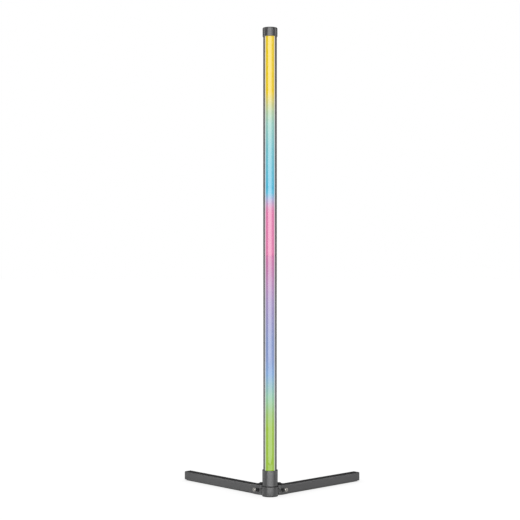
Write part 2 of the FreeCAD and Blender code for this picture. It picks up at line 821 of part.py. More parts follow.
def build_knuckle(name, heading, front):
    """The block at a leg's inner end: forked round the hub's tongue, hollow for the leg's bar."""
    knuckle = Piece(name + "_knuckle")
    top = "knuckle_base + knuckle_height"
    block = knuckle.outline("XY", "knuckle_base").polygon(
        ("hinge_reach", "-knuckle_end_rad"),
        ("knuckle_wide_from", "-knuckle_half"),
        ("knuckle_end", "-knuckle_half"),
        ("knuckle_end", "knuckle_half"),
        ("knuckle_wide_from", "knuckle_half"),
        ("hinge_reach", "knuckle_end_rad"),
    )
    knuckle.pad(block, "knuckle_height")
    nose = knuckle.outline("XY", "knuckle_base").circle("hinge_reach", "0", "knuckle_end_rad")
    knuckle.pad(nose, "knuckle_height")

    def rim(edge):
        level = abs(edge.tangentAt(edge.FirstParameter).z) < 0.01
        return level and edge.CenterOfMass.x < value("knuckle_end") - 0.01

    knuckle.round_edges("knuckle_edge", rim)
    slot = knuckle.outline("XY", "slot_base").box("0", "slot_end", "-pole_dia", "pole_dia")
    knuckle.cut(slot, "slot_height")
    bar = knuckle.outline("YZ", "bar_socket_start").box(
        "-bar_socket_half", "bar_socket_half", "leg_level - bar_socket_half",
        "leg_level + bar_socket_half"
    )
    knuckle.cut(bar, "knuckle_end - bar_socket_start")
    bolt = knuckle.outline("XY", "knuckle_base").circle("hinge_reach", "0", "hinge_bolt_rad")
    knuckle.cut(bolt, "knuckle_height")
    seat = knuckle.outline("XY", top).circle("hinge_reach", "0", "spot_face_rad")
    knuckle.cut(seat, "spot_face_depth", back=True)
    nut = knuckle.outline("XY", "knuckle_base").hexagon("hinge_reach", "0", "nut_pocket_flats")
    knuckle.cut(nut, "nut_pocket_depth")
    hole = knuckle.outline("XZ", f"{front} * -knuckle_half").circle(
        "leg_screw_reach", "leg_screw_level", "leg_screw_rad"
    )
    knuckle.cut(hole, "knuckle_half - bar_half", back=front < 0)
    turned(knuckle.done(), heading)


def build_hinge(name, heading):
    """The upright hinge bolt, its nut below and the two washers beside the tongue."""
    seat = "knuckle_base + knuckle_height - spot_face_depth"
    top = f"{seat} + hinge_head_height"
    tip = f"{seat} - hinge_bolt_length"
    bolt = Piece(name + "_hinge_bolt")
    head = bolt.outline("XY", seat).circle("hinge_reach", "0", "hinge_head_rad")
    bolt.pad(head, "hinge_head_height")
    bolt.round_edges("hinge_head_round", circle_at(top, "hinge_head_rad"))
    shank = bolt.outline("XY", tip).circle("hinge_reach", "0", "hinge_bolt_rad")
    bolt.pad(shank, "hinge_bolt_length")
    key = bolt.outline("XY", top).hexagon("hinge_reach", "0", "hinge_key")
    bolt.cut(key, "hinge_key_depth", back=True)
    turned(bolt.done(), heading)

    nut = Piece(name + "_hinge_nut")
    nut_base = "knuckle_base + nut_pocket_depth - nut_height"
    hexagon = nut.outline("XY", nut_base).hexagon("hinge_reach", "0", "nut_flats")
    nut.pad(hexagon, "nut_height")
    bore = nut.outline("XY", nut_base).circle("hinge_reach", "0", "hinge_bolt_rad")
    nut.cut(bore, "nut_height")
    turned(nut.done(), heading)

    rings = []
    for low in ("slot_base", "slot_base + slot_height - washer_thick"):
        washer = Piece(name + "_hinge_washer")
        ring = washer.outline("XY", low).circle("hinge_reach", "0", "washer_rad")
        ring.circle("hinge_reach", "0", "hinge_bolt_rad + close_gap")
        washer.pad(ring, "washer_thick")
        rings.append(washer.body)
    group = doc.addObject("Part::Compound", name + "_hinge_washers")
    group.Links = rings
    turned(sub_part(group, name + "_hinge_washers"), heading)


def build_leg_screw(name, heading, front):
    """The bright button-head screw through the knuckle's front wall into the leg's bar."""
    face = f"{front} * -knuckle_half"
    screw = Piece(name + "_leg_screw")
    middle = ("leg_screw_reach", "leg_screw_level")
    head = screw.outline("XZ", face).circle(*middle, "leg_screw_head_rad")
    screw.pad(head, "leg_screw_head", back=front > 0)

    def rim(edge):
        if not isinstance(edge.Curve, Part.Circle):
            return False
        return abs(abs(edge.Curve.Center.y) - value("knuckle_half + leg_screw_head")) < 0.01

    screw.round_edges("leg_screw_head_rad - leg_screw_crown_rad", rim)
    shank = screw.outline("XZ", face).circle(*middle, "leg_screw_rad")
    screw.pad(shank, "leg_screw_length", back=front < 0)
    crown = f"{front} * -(knuckle_half + leg_screw_head)"
    key = screw.outline("XZ", crown).hexagon(*middle, "leg_screw_key")
    screw.cut(key, "leg_screw_key_depth", back=front < 0)
    turned(screw.done(), heading)


def build_leg(name, heading, front):
    """The square tube with its inner bar, the bar's screw, the end cap and the foot pad."""
    half = "leg_size / 2"
    bore = "leg_size / 2 - leg_wall"
    low = f"leg_level - {half}"
    tube_end = "leg_end - cap_plate"
    tube = Piece(name + "_leg_tube")
    outside = tube.outline("YZ", "knuckle_end").box("-" + half, half, low, f"leg_level + {half}")
    tube.pad(outside, f"{tube_end} - knuckle_end")
    tube.round_edges("leg_edge", runs_along(ALONG))
    inside = tube.outline("YZ", "knuckle_end").box(
        f"-({bore})", bore, f"leg_level - ({bore})", f"leg_level + {bore}"
    )
    tube.cut(inside, f"{tube_end} - knuckle_end")
    sink = tube.outline("XY", low).circle("bar_screw_reach", "0", "bar_screw_head_rad")
    tube.cut(sink, "leg_wall")
    turned(tube.done(), heading)

    bar = Piece(name + "_leg_bar")
    root = bar.outline("YZ", "bar_start").box(
        "-bar_half", "bar_half", "leg_level - bar_half", "leg_level + bar_half"
    )
    bar.pad(root, "knuckle_end - bar_start")
    body = bar.outline("YZ", "knuckle_end").box(
        "-bar_tube_half", "bar_tube_half", "leg_level - bar_tube_half",
        "leg_level + bar_tube_half"
    )
    bar.pad(body, "bar_end - knuckle_end")
    leg_screw = bar.outline("XZ", f"{front} * -bar_half").circle(
        "leg_screw_reach", "leg_screw_level", "leg_screw_rad"
    )
    bar.cut(leg_screw, "leg_screw_length - (knuckle_half - bar_half)", back=front < 0)
    under = bar.outline("XY", "leg_level - bar_tube_half").circle(
        "bar_screw_reach", "0", "bar_screw_rad"
    )
    bar.cut(under, "bar_screw_length")
    turned(bar.done(), heading)

    screw = Piece(name + "_bar_screw")
    crown = f"{low} + loose_gap"
    head = screw.outline("XY", crown).circle(
        "bar_screw_reach", "0", "bar_screw_head_rad - loose_gap"
    )
    screw.pad(head, "leg_wall")
    shank = screw.outline("XY", crown).circle("bar_screw_reach", "0", "bar_screw_rad")
    screw.pad(shank, "bar_screw_length")
    turned(screw.done(), heading)

    cap = Piece(name + "_leg_end_cap")
    plate = cap.outline("YZ", tube_end).box("-" + half, half, low, f"leg_level + {half}")
    cap.pad(plate, "cap_plate")
    cap.round_edges("leg_edge", runs_along(ALONG))

    def at_the_end(edge):
        return edge.CenterOfMass.x > value("leg_end") - 0.01

    cap.round_edges("cap_edge", at_the_end)
    plug_half = f"{bore} - cap_plug_gap"
    plug = cap.outline("YZ", tube_end).box(
        f"-({plug_half})", plug_half, f"leg_level - ({plug_half})", f"leg_level + {plug_half}"
    )
    cap.pad(plug, "cap_plug", back=True)
    core_half = f"{plug_half} - cap_plug_wall"
    core = cap.outline("YZ", tube_end).box(
        f"-({core_half})", core_half, f"leg_level - ({core_half})", f"leg_level + {core_half}"
    )
    cap.cut(core, "cap_plug", back=True)
    turned(cap.done(), heading)

    pad = Piece(name + "_leg_foot_pad")
    strip = pad.outline().box(
        "foot_reach - foot_half_length", "foot_reach + foot_half_length",
        "-foot_half_width", "foot_half_width"
    )
    pad.pad(strip, low)
    pad.round_edges("foot_round", runs_along(UPRIGHT))
    turned(pad.done(), heading)


for place, foot, joint_end in (("lower", POLE_FOOT, "head"), ("upper", POLE_JOINT, "foot")):
    build_profile(place + "_profile", foot, joint_end)
    build_diffuser(place + "_diffuser", foot)
    build_lights(place, foot)
build_joint()
build_top_cap()
build_pole_socket()
build_hub()
build_hub_underside()
build_controller()
build_pole_bolt()
for name, heading, front in (("left", "left_heading", 1), ("right", "right_heading", -1)):
    build_knuckle(name, heading, front)
    build_hinge(name, heading)
    build_leg_screw(name, heading, front)
    build_leg(name, heading, front)

doc.recompute()
for item in doc.Objects:
    if "Invalid" in item.State or "Error" in item.State:
        raise RuntimeError(f"{item.Label} failed: {item.State}")
for item in sub_parts:
    if item.Shape.isNull() or not item.Shape.isValid():
        raise RuntimeError(f"{item.Label} has no valid shape")

os.makedirs("parts", exist_ok=True)
for item in sub_parts:
    item.Shape.exportStep(f"parts/{item.Label}.step")
    print(f"{item.Label}: {item.Shape.Volume:.1f} mm3, {len(item.Shape.Solids)} solid(s)")
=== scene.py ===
"""The looks of a corner floor lamp, dressed round its packed construction.

Lengths are metres in the lamp's own frame: +Z up, the light towards -Y, the legs back towards
+Y. Colours are sRGB hex words, as on a paint chart.
"""

import logging
import math
from dataclasses import dataclass
from enum import Enum
from typing import Any, Callable, ClassVar, Iterable, Union

import bmesh
import bpy
from mathutils import Matrix, Vector


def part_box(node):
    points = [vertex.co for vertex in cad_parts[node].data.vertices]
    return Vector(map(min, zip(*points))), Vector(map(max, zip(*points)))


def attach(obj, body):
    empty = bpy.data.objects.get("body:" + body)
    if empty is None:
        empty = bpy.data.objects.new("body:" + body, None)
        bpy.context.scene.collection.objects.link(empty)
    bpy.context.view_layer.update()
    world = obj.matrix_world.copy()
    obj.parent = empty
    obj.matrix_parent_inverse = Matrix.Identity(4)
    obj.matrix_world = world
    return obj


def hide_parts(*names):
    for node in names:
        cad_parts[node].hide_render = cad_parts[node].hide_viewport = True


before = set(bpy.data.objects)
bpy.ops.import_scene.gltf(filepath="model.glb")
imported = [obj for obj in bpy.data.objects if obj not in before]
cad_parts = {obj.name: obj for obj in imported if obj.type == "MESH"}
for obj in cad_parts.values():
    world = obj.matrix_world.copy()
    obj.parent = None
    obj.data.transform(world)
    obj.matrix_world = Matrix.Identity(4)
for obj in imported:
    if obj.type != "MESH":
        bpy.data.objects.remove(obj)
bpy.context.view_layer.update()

LOG = logging.getLogger("corner_lamp")
MM = 0.001

Number = Union[float, "Signal"]
Colour = tuple[float, float, float, float]


def linear(word: str) -> Colour:
    """Turn an sRGB hex word into a linear colour.

    Args:
        word: Six hex digits, red first.

    Returns:
        Red, green, blue and an alpha of 1.
    """
    shares = [int(word[n:n + 2], 16) / 255 for n in (0, 2, 4)]
    red, green, blue = (
        c / 12.92 if c <= 0.04045 else ((c + 0.055) / 1.055) ** 2.4 for c in shares
    )
    return red, green, blue, 1.0


# ---------------------------------------------------------------- shader maths


class Signal:
    """A socket in a node tree. Python's operators on it add Math nodes."""

    def __init__(self, recipe: "Recipe", socket: bpy.types.NodeSocket) -> None:
        """Keep the socket and the recipe that it belongs to."""
        self.recipe = recipe
        self.socket = socket

    def maths(self, operation: str, *values: Number) -> "Signal":
        """Add a Math node.

        Args:
            operation: The node's operation.
            values: Its inputs in order.

        Returns:
            The node's result.
        """
        settings = {"operation": operation}
        return self.recipe.node("ShaderNodeMath", settings, dict(enumerate(values)))

    def __add__(self, other: Number) -> "Signal":
        """Return self + other."""
        return self.maths("ADD", self, other)

    __radd__ = __add__

    def __sub__(self, other: Number) -> "Signal":
        """Return self - other."""
        return self.maths("SUBTRACT", self, other)

    def __rsub__(self, other: Number) -> "Signal":
        """Return other - self."""
        return self.maths("SUBTRACT", other, self)

    def __mul__(self, other: Number) -> "Signal":
        """Return self * other."""
        return self.maths("MULTIPLY", self, other)

    __rmul__ = __mul__

    def __truediv__(self, other: Number) -> "Signal":
        """Return self / other."""
        return self.maths("DIVIDE", self, other)

    def __pow__(self, other: Number) -> "Signal":
        """Return self to the power of other."""
        return self.maths("POWER", self, other)

    def __mod__(self, other: Number) -> "Signal":
        """Return what is left of self after whole steps of other, never negative."""
        return self.maths("FLOORED_MODULO", self, other)

    def __abs__(self) -> "Signal":
        """Return self without its sign."""
        return self.maths("ABSOLUTE", self)

    def ramp(self, low: float, high: float) -> "Signal":
        """Rise smoothly from 0 at low to 1 at high.

        Args:
            low: The value that gives 0.
            high: The value that gives 1; below low, the ramp falls.

        Returns:
            A share between 0 and 1.
        """
        settings = {"interpolation_type": "SMOOTHSTEP"}
        sockets = {"Value": self, "From Min": low, "From Max": high}
        return self.recipe.node("ShaderNodeMapRange", settings, sockets)


class Recipe:
    """The node tree of one finish, built up from calls."""

    def __init__(self, material: Union[bpy.types.Material, bpy.types.World]) -> None:
        """Start with an empty tree.

        Args:
            material: The material, or the world, that the tree belongs to.
        """
        material.use_nodes = True
        self.tree = material.node_tree
        self.tree.nodes.clear()
        self.places: dict[str, Signal] = {}

    def node(
        self,
        kind: str,
        settings: dict[str, Any],
        sockets: dict[Union[int, str], Any],
        output: Union[int, str] = 0,
    ) -> Signal:
        """Add a node of any kind.

        Args:
            kind: The node's type.
            settings: Its own properties; "stops" fills a colour ramp.
            sockets: Values or signals by the input's name or number.
            output: The output that is wanted.

        Returns:
            That output.
        """
        node = self.tree.nodes.new(kind)
        for key, setting in settings.items():
            if key == "stops":
                self.fill_ramp(node.color_ramp, setting)
            else:
                setattr(node, key, setting)
        for key, value in sockets.items():
            if isinstance(value, Signal):
                self.tree.links.new(value.socket, node.inputs[key])
            else:
                node.inputs[key].default_value = value
        return Signal(self, node.outputs[output])

    @staticmethod
    def fill_ramp(ramp: bpy.types.ColorRamp, stops: Iterable[tuple[float, Colour]]) -> None:
        """Put a colour ramp's stops in place.

        Args:
            ramp: The ramp of a new node.
            stops: Position and colour of each stop, in order.
        """
        for number, (position, colour) in enumerate(stops):
            stop = ramp.elements[number] if number < 2 else ramp.elements.new(position)
            stop.position = position
            stop.color = colour

    def spot(self, system: str = "Object") -> Signal:
        """The place on the object, in metres.

        Args:
            system: The output of the coordinate node to read.

        Returns:
            The place as a vector.
        """
        if system not in self.places:
            self.places[system] = self.node("ShaderNodeTexCoord", {}, {}, system)
        return self.places[system]

    def along(self, axis: str) -> Signal:
        """One coordinate of the place, in metres.

        Args:
            axis: X, Y or Z.

        Returns:
            The coordinate.
        """
        return self.node("ShaderNodeSeparateXYZ", {}, {0: self.spot()}, axis)

    def turned_spot(self, heading: float, stretch: Vector = Vector((1, 1, 1))) -> Signal:
        """The place in axes turned about Z, each scaled.

        Args:
            heading: The turn, in degrees.
            stretch: A factor for each turned axis.

        Returns:
            The place as a vector.
        """
        turned = self.node("ShaderNodeMapping", {"vector_type": "TEXTURE"}, {
            "Vector": self.spot(), "Rotation": (0, 0, math.radians(heading)),
        })
        return self.node("ShaderNodeMapping", {}, {"Vector": turned, "Scale": stretch})

    def noise(self, grain: float, detail: float = 2.0, where: Union[Signal, None] = None) -> Signal:
        """Soft random patches.

        Args:
            grain: The size of a patch, in metres.
            detail: The octaves of finer patches.
            where: A place to read instead of the plain one.

        Returns:
            A value about 0.5, from 0 to 1.
        """
        sockets = {"Vector": where or self.spot(), "Scale": 1 / grain, "Detail": detail}
        return self.node("ShaderNodeTexNoise", {}, sockets)

    def tint(self, share: Number, first: Any, second: Any, way: str = "MIX") -> Signal:
        """Mix two colours.

        Args:
            share: How much of the second.
            first: A colour or a signal.
            second: A colour or a signal.
            way: The blend type.

        Returns:
            The mixed colour.
        """
        settings = {"data_type": "RGBA", "blend_type": way}
        # the Mix node's sockets 0, 6 and 7 are the factor and the two colours, output 2 is theirs
        return self.node("ShaderNodeMix", settings, {0: share, 6: first, 7: second}, 2)

    def darkened_in_bands(self, colour: Signal, dark_bands: Iterable[tuple[float, float]]) -> Signal:
        """Paint a colour near black in bands of height, for dark joint lines and for painted shade
        in grooves.

        Args:
            colour: The colour.
            dark_bands: The middle height and half the width of each band.

        Returns:
            The colour with its dark bands.
        """
        # near black for each band: dark joint lines, and painted shade in grooves
        for seam in dark_bands:
            colour = self.tint(self.seam(*seam), colour, linear("050505"))
        return colour

    def seam(self, height: float, half: float) -> Signal:
        """1 within a band of heights and 0 elsewhere."""
        return abs(self.along("Z") - height).ramp(half, 0.85 * half)

    def relief(self, height: Signal, depth: float) -> Signal:
        """A Bump node.

        Args:
            height: The height of the surface, from 0 to 1.
            depth: What a height of 1 stands for, in metres.

        Returns:
            The bent normal.
        """
        return self.node("ShaderNodeBump", {}, {"Height": height, "Distance": depth})

    def skin(self, **sockets: Any) -> None:
        """Close the tree with a Principled surface.

        Args:
            sockets: Values or signals; an underscore in a name stands for a space.
        """
        named = {key.replace("_", " "): value for key, value in sockets.items()}
        surface = self.node("ShaderNodeBsdfPrincipled", {}, named)
        self.node_output("ShaderNodeOutputMaterial", surface)

    def node_output(self, kind: str, surface: Signal) -> None:
        """Link a surface to the tree's output node of that kind."""
        node = self.tree.nodes.new(kind)
        self.tree.links.new(surface.socket, node.inputs["Surface"])


# ---------------------------------------------------------------- finishes


BLACK = (0.0, 0.0, 0.0, 1.0)
WHITE = (1.0, 1.0, 1.0, 1.0)


@dataclass(frozen=True)
class Finish:
    """A finish that can be put on any piece.

    Attributes:
        name: A maker's name for it.
        slot: The record's material slot that it belongs to.
        colour: Its main colour.
        roughness: Its mean roughness.
    """

    name: str
    slot: str
    colour: str
    roughness: float

    def material(self) -> bpy.types.Material:
        """Mix the finish on its first use, and find it again after that.

        Returns:
            The finish as a material.
        """
        made = bpy.data.materials.get(self.name)
        if made is None:
            made = bpy.data.materials.new(self.name)
            made.diffuse_color = linear(self.colour)
            self.mix(Recipe(made))
        return made

    def mix(self, recipe: Recipe) -> None:
        """Build the node tree; each kind of finish has its own.

        Args:
            recipe: The finish's empty tree.
        """
        raise NotImplementedError


@dataclass(frozen=True)
class Paint(Finish):
    """Satin powder coat: a fine peel, a slow drift of shade and small dull spots.

    Attributes:
        peel: The size of the peel's dimples.
        gloss: The specular level of the coat.
        dark_bands: The middle height and half the width of each band round the pole that is painted
            near black and rougher, as painted shade in a groove.
    """

    peel: float = 0.7 * MM
    gloss: float = 0.5
    dark_bands: tuple[tuple[float, float], ...] = ()

    def mix(self, recipe: Recipe) -> None:
        """Drift, dust and peel, and painted shade in dark bands.

        Args:
            recipe: The finish's empty tree.
        """
        drift = recipe.noise(60 * MM, 3)
        dust = recipe.noise(2.2 * MM, 4).ramp(0.55, 0.75)
        shade = recipe.tint(drift, linear(self.colour), WHITE, "SOFT_LIGHT")
        soft = recipe.tint(0.22, linear(self.colour), shade)
        peel = recipe.noise(self.peel, 1.5)
        recipe.skin(
            Base_Color=recipe.darkened_in_bands(
                recipe.tint(dust * 0.08, soft, linear("6c6c6c")), self.dark_bands
            ),
            # the bands of painted shade are made rougher as well, so that they stay dark
            Roughness=sum(
                (0.6 * recipe.seam(*seam) for seam in self.dark_bands),
                self.roughness + 0.10 * (drift - 0.5) + 0.05 * dust,
            ),
            Specular_IOR_Level=self.gloss,
            Normal=recipe.relief(peel, 0.018 * MM),
        )


@dataclass(frozen=True)
class Anodised(Finish):
    """Anodised extrusion with the die's faint lines along the pole.

    Attributes:
        dark_bands: The middle height and half the width of each dark joint line round the pole.
    """

    dark_bands: tuple[tuple[float, float], ...] = ()

    def mix(self, recipe: Recipe) -> None:
        """Long thin lines, and a slow drift of shade.

        Args:
            recipe: The finish's empty tree.
        """
        lines = recipe.noise(1.1 * MM, 3, recipe.turned_spot(0, Vector((1, 1, 0.006))))
        drift = recipe.noise(90 * MM, 2)
        dark = recipe.tint(lines.ramp(0.3, 0.7) * 0.3, linear(self.colour), linear("38383b"))
        recipe.skin(
            Base_Color=recipe.darkened_in_bands(
                recipe.tint(drift * 0.12, dark, linear("5e5e62")), self.dark_bands
            ),
            Roughness=self.roughness + 0.12 * (lines - 0.5),
            Metallic=0.2,
            Normal=recipe.relief(lines, 0.01 * MM),
        )


@dataclass(frozen=True)
class Plated(Finish):
    """Bare or plated metal with fine marks of turning or drawing.

    Attributes:
        mark: The spacing of the marks.
        stain: The colour of its duller patches.
        metal: How metallic it is.
    """

    mark: float = 0.25 * MM
    stain: str = "606060"
    metal: float = 1.0

    def mix(self, recipe: Recipe) -> None:
        """Marks that cross each other, under soft patches of tarnish.

        Args:
            recipe: The finish's empty tree.
        """
        across = recipe.noise(self.mark, 2, recipe.turned_spot(0, Vector((1, 1, 0.08))))
        around = recipe.noise(self.mark, 2, recipe.turned_spot(0, Vector((0.08, 0.08, 1))))
        marks = 0.5 * (across + around)
        tarnish = recipe.noise(3 * MM, 4).ramp(0.5, 0.8)
        recipe.skin(
            Base_Color=recipe.tint(tarnish * 0.35, linear(self.colour), linear(self.stain)),
            Roughness=self.roughness + 0.18 * (marks - 0.5) + 0.10 * tarnish,
            Metallic=self.metal,
            Normal=recipe.relief(marks, 0.008 * MM),
        )


@dataclass(frozen=True)
class Moulded(Finish):
    """Moulded plastic or rubber with a spark-eroded grain.

    Attributes:
        grain: The size of the grain.
        depth: The height of the grain.
    """

    grain: float = 0.35 * MM
    depth: float = 0.012 * MM

    def mix(self, recipe: Recipe) -> None:
        """Grain and a slight flow of shade.

        Args:
            recipe: The finish's empty tree.
        """
        grain = recipe.noise(self.grain, 2)
        flow = recipe.noise(9 * MM, 3, recipe.turned_spot(0, Vector((1, 1, 0.3))))
        recipe.skin(
            Base_Color=recipe.tint(flow * 0.10, linear(self.colour), linear("909090")),
            Roughness=self.roughness + 0.12 * (grain - 0.5) + 0.06 * (flow - 0.5),
            Normal=recipe.relief(grain, self.depth),
        )


@dataclass(frozen=True)
class Mask(Finish):
    """Solder mask over copper tracks.

    Attributes:
        track: The colour where copper lies under the mask.
        pitch: The spacing of the tracks.
    """

    track: str = "2f7a4d"
    pitch: float = 1.3 * MM

    def mix(self, recipe: Recipe) -> None:
        """Straight tracks broken up by patches, each a little raised.

        Args:
            recipe: The finish's empty tree.
        """
        lanes = abs((recipe.along("X") + recipe.along("Y")) % self.pitch - self.pitch / 2)
        fields = recipe.noise(4 * MM, 0).ramp(0.48, 0.5)
        copper = lanes.ramp(0.30 * self.pitch, 0.26 * self.pitch) * fields
        speck = recipe.noise(0.3 * MM, 2)
        recipe.skin(
            Base_Color=recipe.tint(copper, linear(self.colour), linear(self.track)),
            Roughness=self.roughness + 0.1 * (speck - 0.5),
            Normal=recipe.relief(copper, 0.03 * MM),
        )


@dataclass(frozen=True)
class Hue:
    """One colour of the lamp's light and the height at which it is pure."""

    height: float
    colour: str


@dataclass(frozen=True)
class ColourRun:
    """The run of colours up one section of the pole."""

    foot: float
    head: float
    hues: tuple[Hue, ...]

    def light(self, recipe: Recipe) -> Signal:
        """The run as a colour ramp over height.

        Args:
            recipe: The tree to add it to.

        Returns:
            The colour at each height.
        """
        share = (recipe.along("Z") - self.foot) / (self.head - self.foot)
        stops = [
            ((hue.height - self.foot) / (self.head - self.foot), linear(hue.colour))
            for hue in self.hues
        ]
        return recipe.node("ShaderNodeValToRGB", {"stops": stops}, {"Fac": share}, "Color")


@dataclass(frozen=True)
class Glow(Finish):
    """Milky cover lit from behind by a run of colours.

    Attributes:
        run: The colours behind it.
        pitch: The spacing of the lights behind it.
        strength: How bright the light is against the colours as written.
        rim_from: The distance from the middle at which a painted reflection starts to whiten the
            cover.
        rim_full: The distance at which it is whitest.
        rim_gleam: How much the painted reflection whitens it there.
    """

    run: ColourRun
    pitch: float
    strength: float = 0.74
    rim_from: float = 8.5 * MM
    rim_full: float = 9.4 * MM
    rim_gleam: float = 0.62

    def mix(self, recipe: Recipe) -> None:
        """The run, with a painted reflection whitening its rims, a trace of each light, and faint
        lines of extrusion.

        Args:
            recipe: The finish's empty tree.
        """
        run = self.run.light(recipe)
        beat = abs((recipe.along("Z") - self.run.foot) % self.pitch - self.pitch / 2)
        dim = beat.ramp(0.1 * self.pitch, 0.5 * self.pitch) * 0.02
        # painted reflection: the glow whitens towards the cover's edges in place of the side
        # lights' reflection
        rim_gleam = abs(recipe.along("X")).ramp(self.rim_from, self.rim_full) * self.rim_gleam
        cloud = recipe.noise(25 * MM, 2)
        lines = recipe.noise(1.4 * MM, 2, recipe.turned_spot(0, Vector((1, 1, 0.004))))
        recipe.skin(
            Base_Color=recipe.tint(0.75, run, BLACK),
            Emission_Color=recipe.tint(dim, recipe.tint(rim_gleam, run, WHITE), BLACK),
            Emission_Strength=self.strength,
            Roughness=self.roughness + 0.03 * (cloud - 0.5) + 0.02 * (lines - 0.5),
            IOR=1.58,
            Normal=recipe.relief(lines, 0.002 * MM),
        )


@dataclass(frozen=True)
class LitPackage(Finish):
    """White light package whose round window shines in the run's colour.

    Attributes:
        run: The colours of the row.
        pitch: The spacing of the packages.
        window: The radius of the round window.
    """

    run: ColourRun
    pitch: float
    window: float = 1.9 * MM

    def mix(self, recipe: Recipe) -> None:
        """A round window on each package, lit, in a white frame.

        Args:
            recipe: The finish's empty tree.
        """
        across = recipe.along("X")
        level = (recipe.along("Z") - self.run.foot + self.pitch / 2) % self.pitch
        high = level - self.pitch / 2
        reach = (across * across + high * high) ** 0.5
        window = reach.ramp(self.window * 1.06, self.window)
        grain = recipe.noise(0.4 * MM, 2)
        recipe.skin(
            Base_Color=recipe.tint(window, linear(self.colour), linear("e8d79a")),
            Emission_Color=recipe.tint(window, BLACK, self.run.light(recipe)),
            Emission_Strength=1.5,
            Roughness=self.roughness + 0.2 * (grain - 0.5) - 0.2 * window,
        )


@dataclass(frozen=True)
class Chip(Finish):
    """Tan ceramic body between two tinned ends, one above the other.

    Attributes:
        foot: The height of the row's section.
        pitch: The spacing of the chips.
        offset: The height of a chip's middle above its light's.
        half: Half the length of the bare ceramic.
    """

    foot: float
    pitch: float
    offset: float
    half: float

    def mix(self, recipe: Recipe) -> None:
        """Tin beyond the bare length, ceramic within it.

        Args:
            recipe: The finish's empty tree.
        """
        level = (recipe.along("Z") - self.foot - self.offset + self.pitch / 2) % self.pitch
        tin = abs(level - self.pitch / 2).ramp(self.half, self.half * 1.05)
        grain = recipe.noise(0.3 * MM, 2)
        recipe.skin(
            Base_Color=recipe.tint(tin, linear(self.colour), linear("c4c4c0")),
            Metallic=tin,
            Roughness=self.roughness + 0.15 * (grain - 0.5) - 0.15 * tin,
        )


SECTION_LENGTH = 500 * MM
POLE_FOOT = 33 * MM
POLE_JOINT = POLE_FOOT + SECTION_LENGTH
POLE_HEAD = POLE_JOINT + SECTION_LENGTH

UPPER_RUN = ColourRun(POLE_JOINT, POLE_HEAD, (
    Hue(0.627, "eb85b5"), Hue(0.638, "e392bd"), Hue(0.656, "b6b4dc"), Hue(0.671, "66c7e6"),
    Hue(0.683, "54c1e2"), Hue(0.771, "7dcad4"), Hue(0.824, "9dd2c6"), Hue(0.850, "b9d4ac"),
    Hue(0.895, "f5d30c"),
))
LOWER_RUN = ColourRun(POLE_FOOT, POLE_JOINT, (
    Hue(0.152, "9bc41e"), Hue(0.183, "99c566"), Hue(0.218, "91caa6"), Hue(0.271, "82acde"),
    Hue(0.306, "8197ce"), Hue(0.342, "8195ca"), Hue(0.430, "a48ec2"), Hue(0.533, "da7cb0"),
))
LIGHT_COUNT = 29
LIGHT_PITCH = SECTION_LENGTH / (LIGHT_COUNT + 1)
CHIP_OFFSET = 5.6 * MM
CHIP_BARE = 0.6 * MM
# painted shade: the groove where the pole's socket meets the hub is painted near black and rougher
HUB_GROOVE_SHADE = (22.6 * MM, 1.3 * MM)
JOINT_SEAM = (POLE_JOINT, 0.6 * MM)

CASTING = Paint("casting_paint", "grey_casting", "4e4e4f", 0.30, 0.5 * MM, 0.55,
                (HUB_GROOVE_SHADE,))
TUBE_PAINT = Paint("tube_paint", "grey_tube", "585859", 0.38, 0.8 * MM)
CAP_PLASTIC = Moulded("end_cap_plastic", "grey_plastic", "545455", 0.42)
PROFILE = Anodised("anodised_profile", "grey_profile", "3e3e41", 0.36, (JOINT_SEAM,))
UPPER_GLOW = Glow("upper_glow", "milky_diffuser", "e07fb0", 0.05, UPPER_RUN, LIGHT_PITCH)
LOWER_GLOW = Glow("lower_glow", "milky_diffuser", "9fc24a", 0.05, LOWER_RUN, LIGHT_PITCH)
UPPER_LIGHTS = LitPackage("upper_lights", "led_package", "f2f2ee", 0.4, UPPER_RUN, LIGHT_PITCH)
LOWER_LIGHTS = LitPackage("lower_lights", "led_package", "f2f2ee", 0.4, LOWER_RUN, LIGHT_PITCH)
UPPER_CHIPS = Chip("upper_chips", "led_package", "a58a63", 0.5, POLE_JOINT, LIGHT_PITCH,
                   CHIP_OFFSET, CHIP_BARE)
LOWER_CHIPS = Chip("lower_chips", "led_package", "a58a63", 0.5, POLE_FOOT, LIGHT_PITCH,
                   CHIP_OFFSET, CHIP_BARE)
BLACK_OXIDE = Plated("black_oxide", "black_steel", "161617", 0.42, stain="232120", metal=0.4)
ZINC = Plated("zinc_plate", "zinc_steel", "b6b8bc", 0.32, stain="8b8c86")
NICKEL = Plated("satin_nickel", "nickel_screw", "8c8a86", 0.36, stain="6c6862")
RAW_ALUMINIUM = Plated("sawn_aluminium", "raw_aluminium", "c9cacd", 0.40, 0.5 * MM,
                       stain="a3a4a6")
RUBBER = Moulded("black_rubber", "black_rubber", "141414", 0.82, 0.25 * MM, 0.03 * MM)
NYLON = Moulded("nylon", "nylon", "e4e2d8", 0.45)
BLACK_PLASTIC = Moulded("black_plastic", "black_plastic", "202021", 0.48)
WHITE_PLASTIC = Moulded("white_plastic", "white_plastic", "e9e7df", 0.4)
SHEATH = Moulded("lead_sheath", "lead_sheath", "dcdcd8", 0.5, 0.6 * MM)
STRIP_MASK = Mask("strip_mask", "strip_board", "ebebe6", 0.35, "d6d2c4", 1.6 * MM)
BOARD_MASK = Mask("board_mask", "green_board", "12492b", 0.3, "1f6b3f")


# ---------------------------------------------------------------- bench


TOUCH = 0.002 * MM
UP = Vector((0, 0, 1))
DOWN = -UP

Test = Callable[[Any], bool]


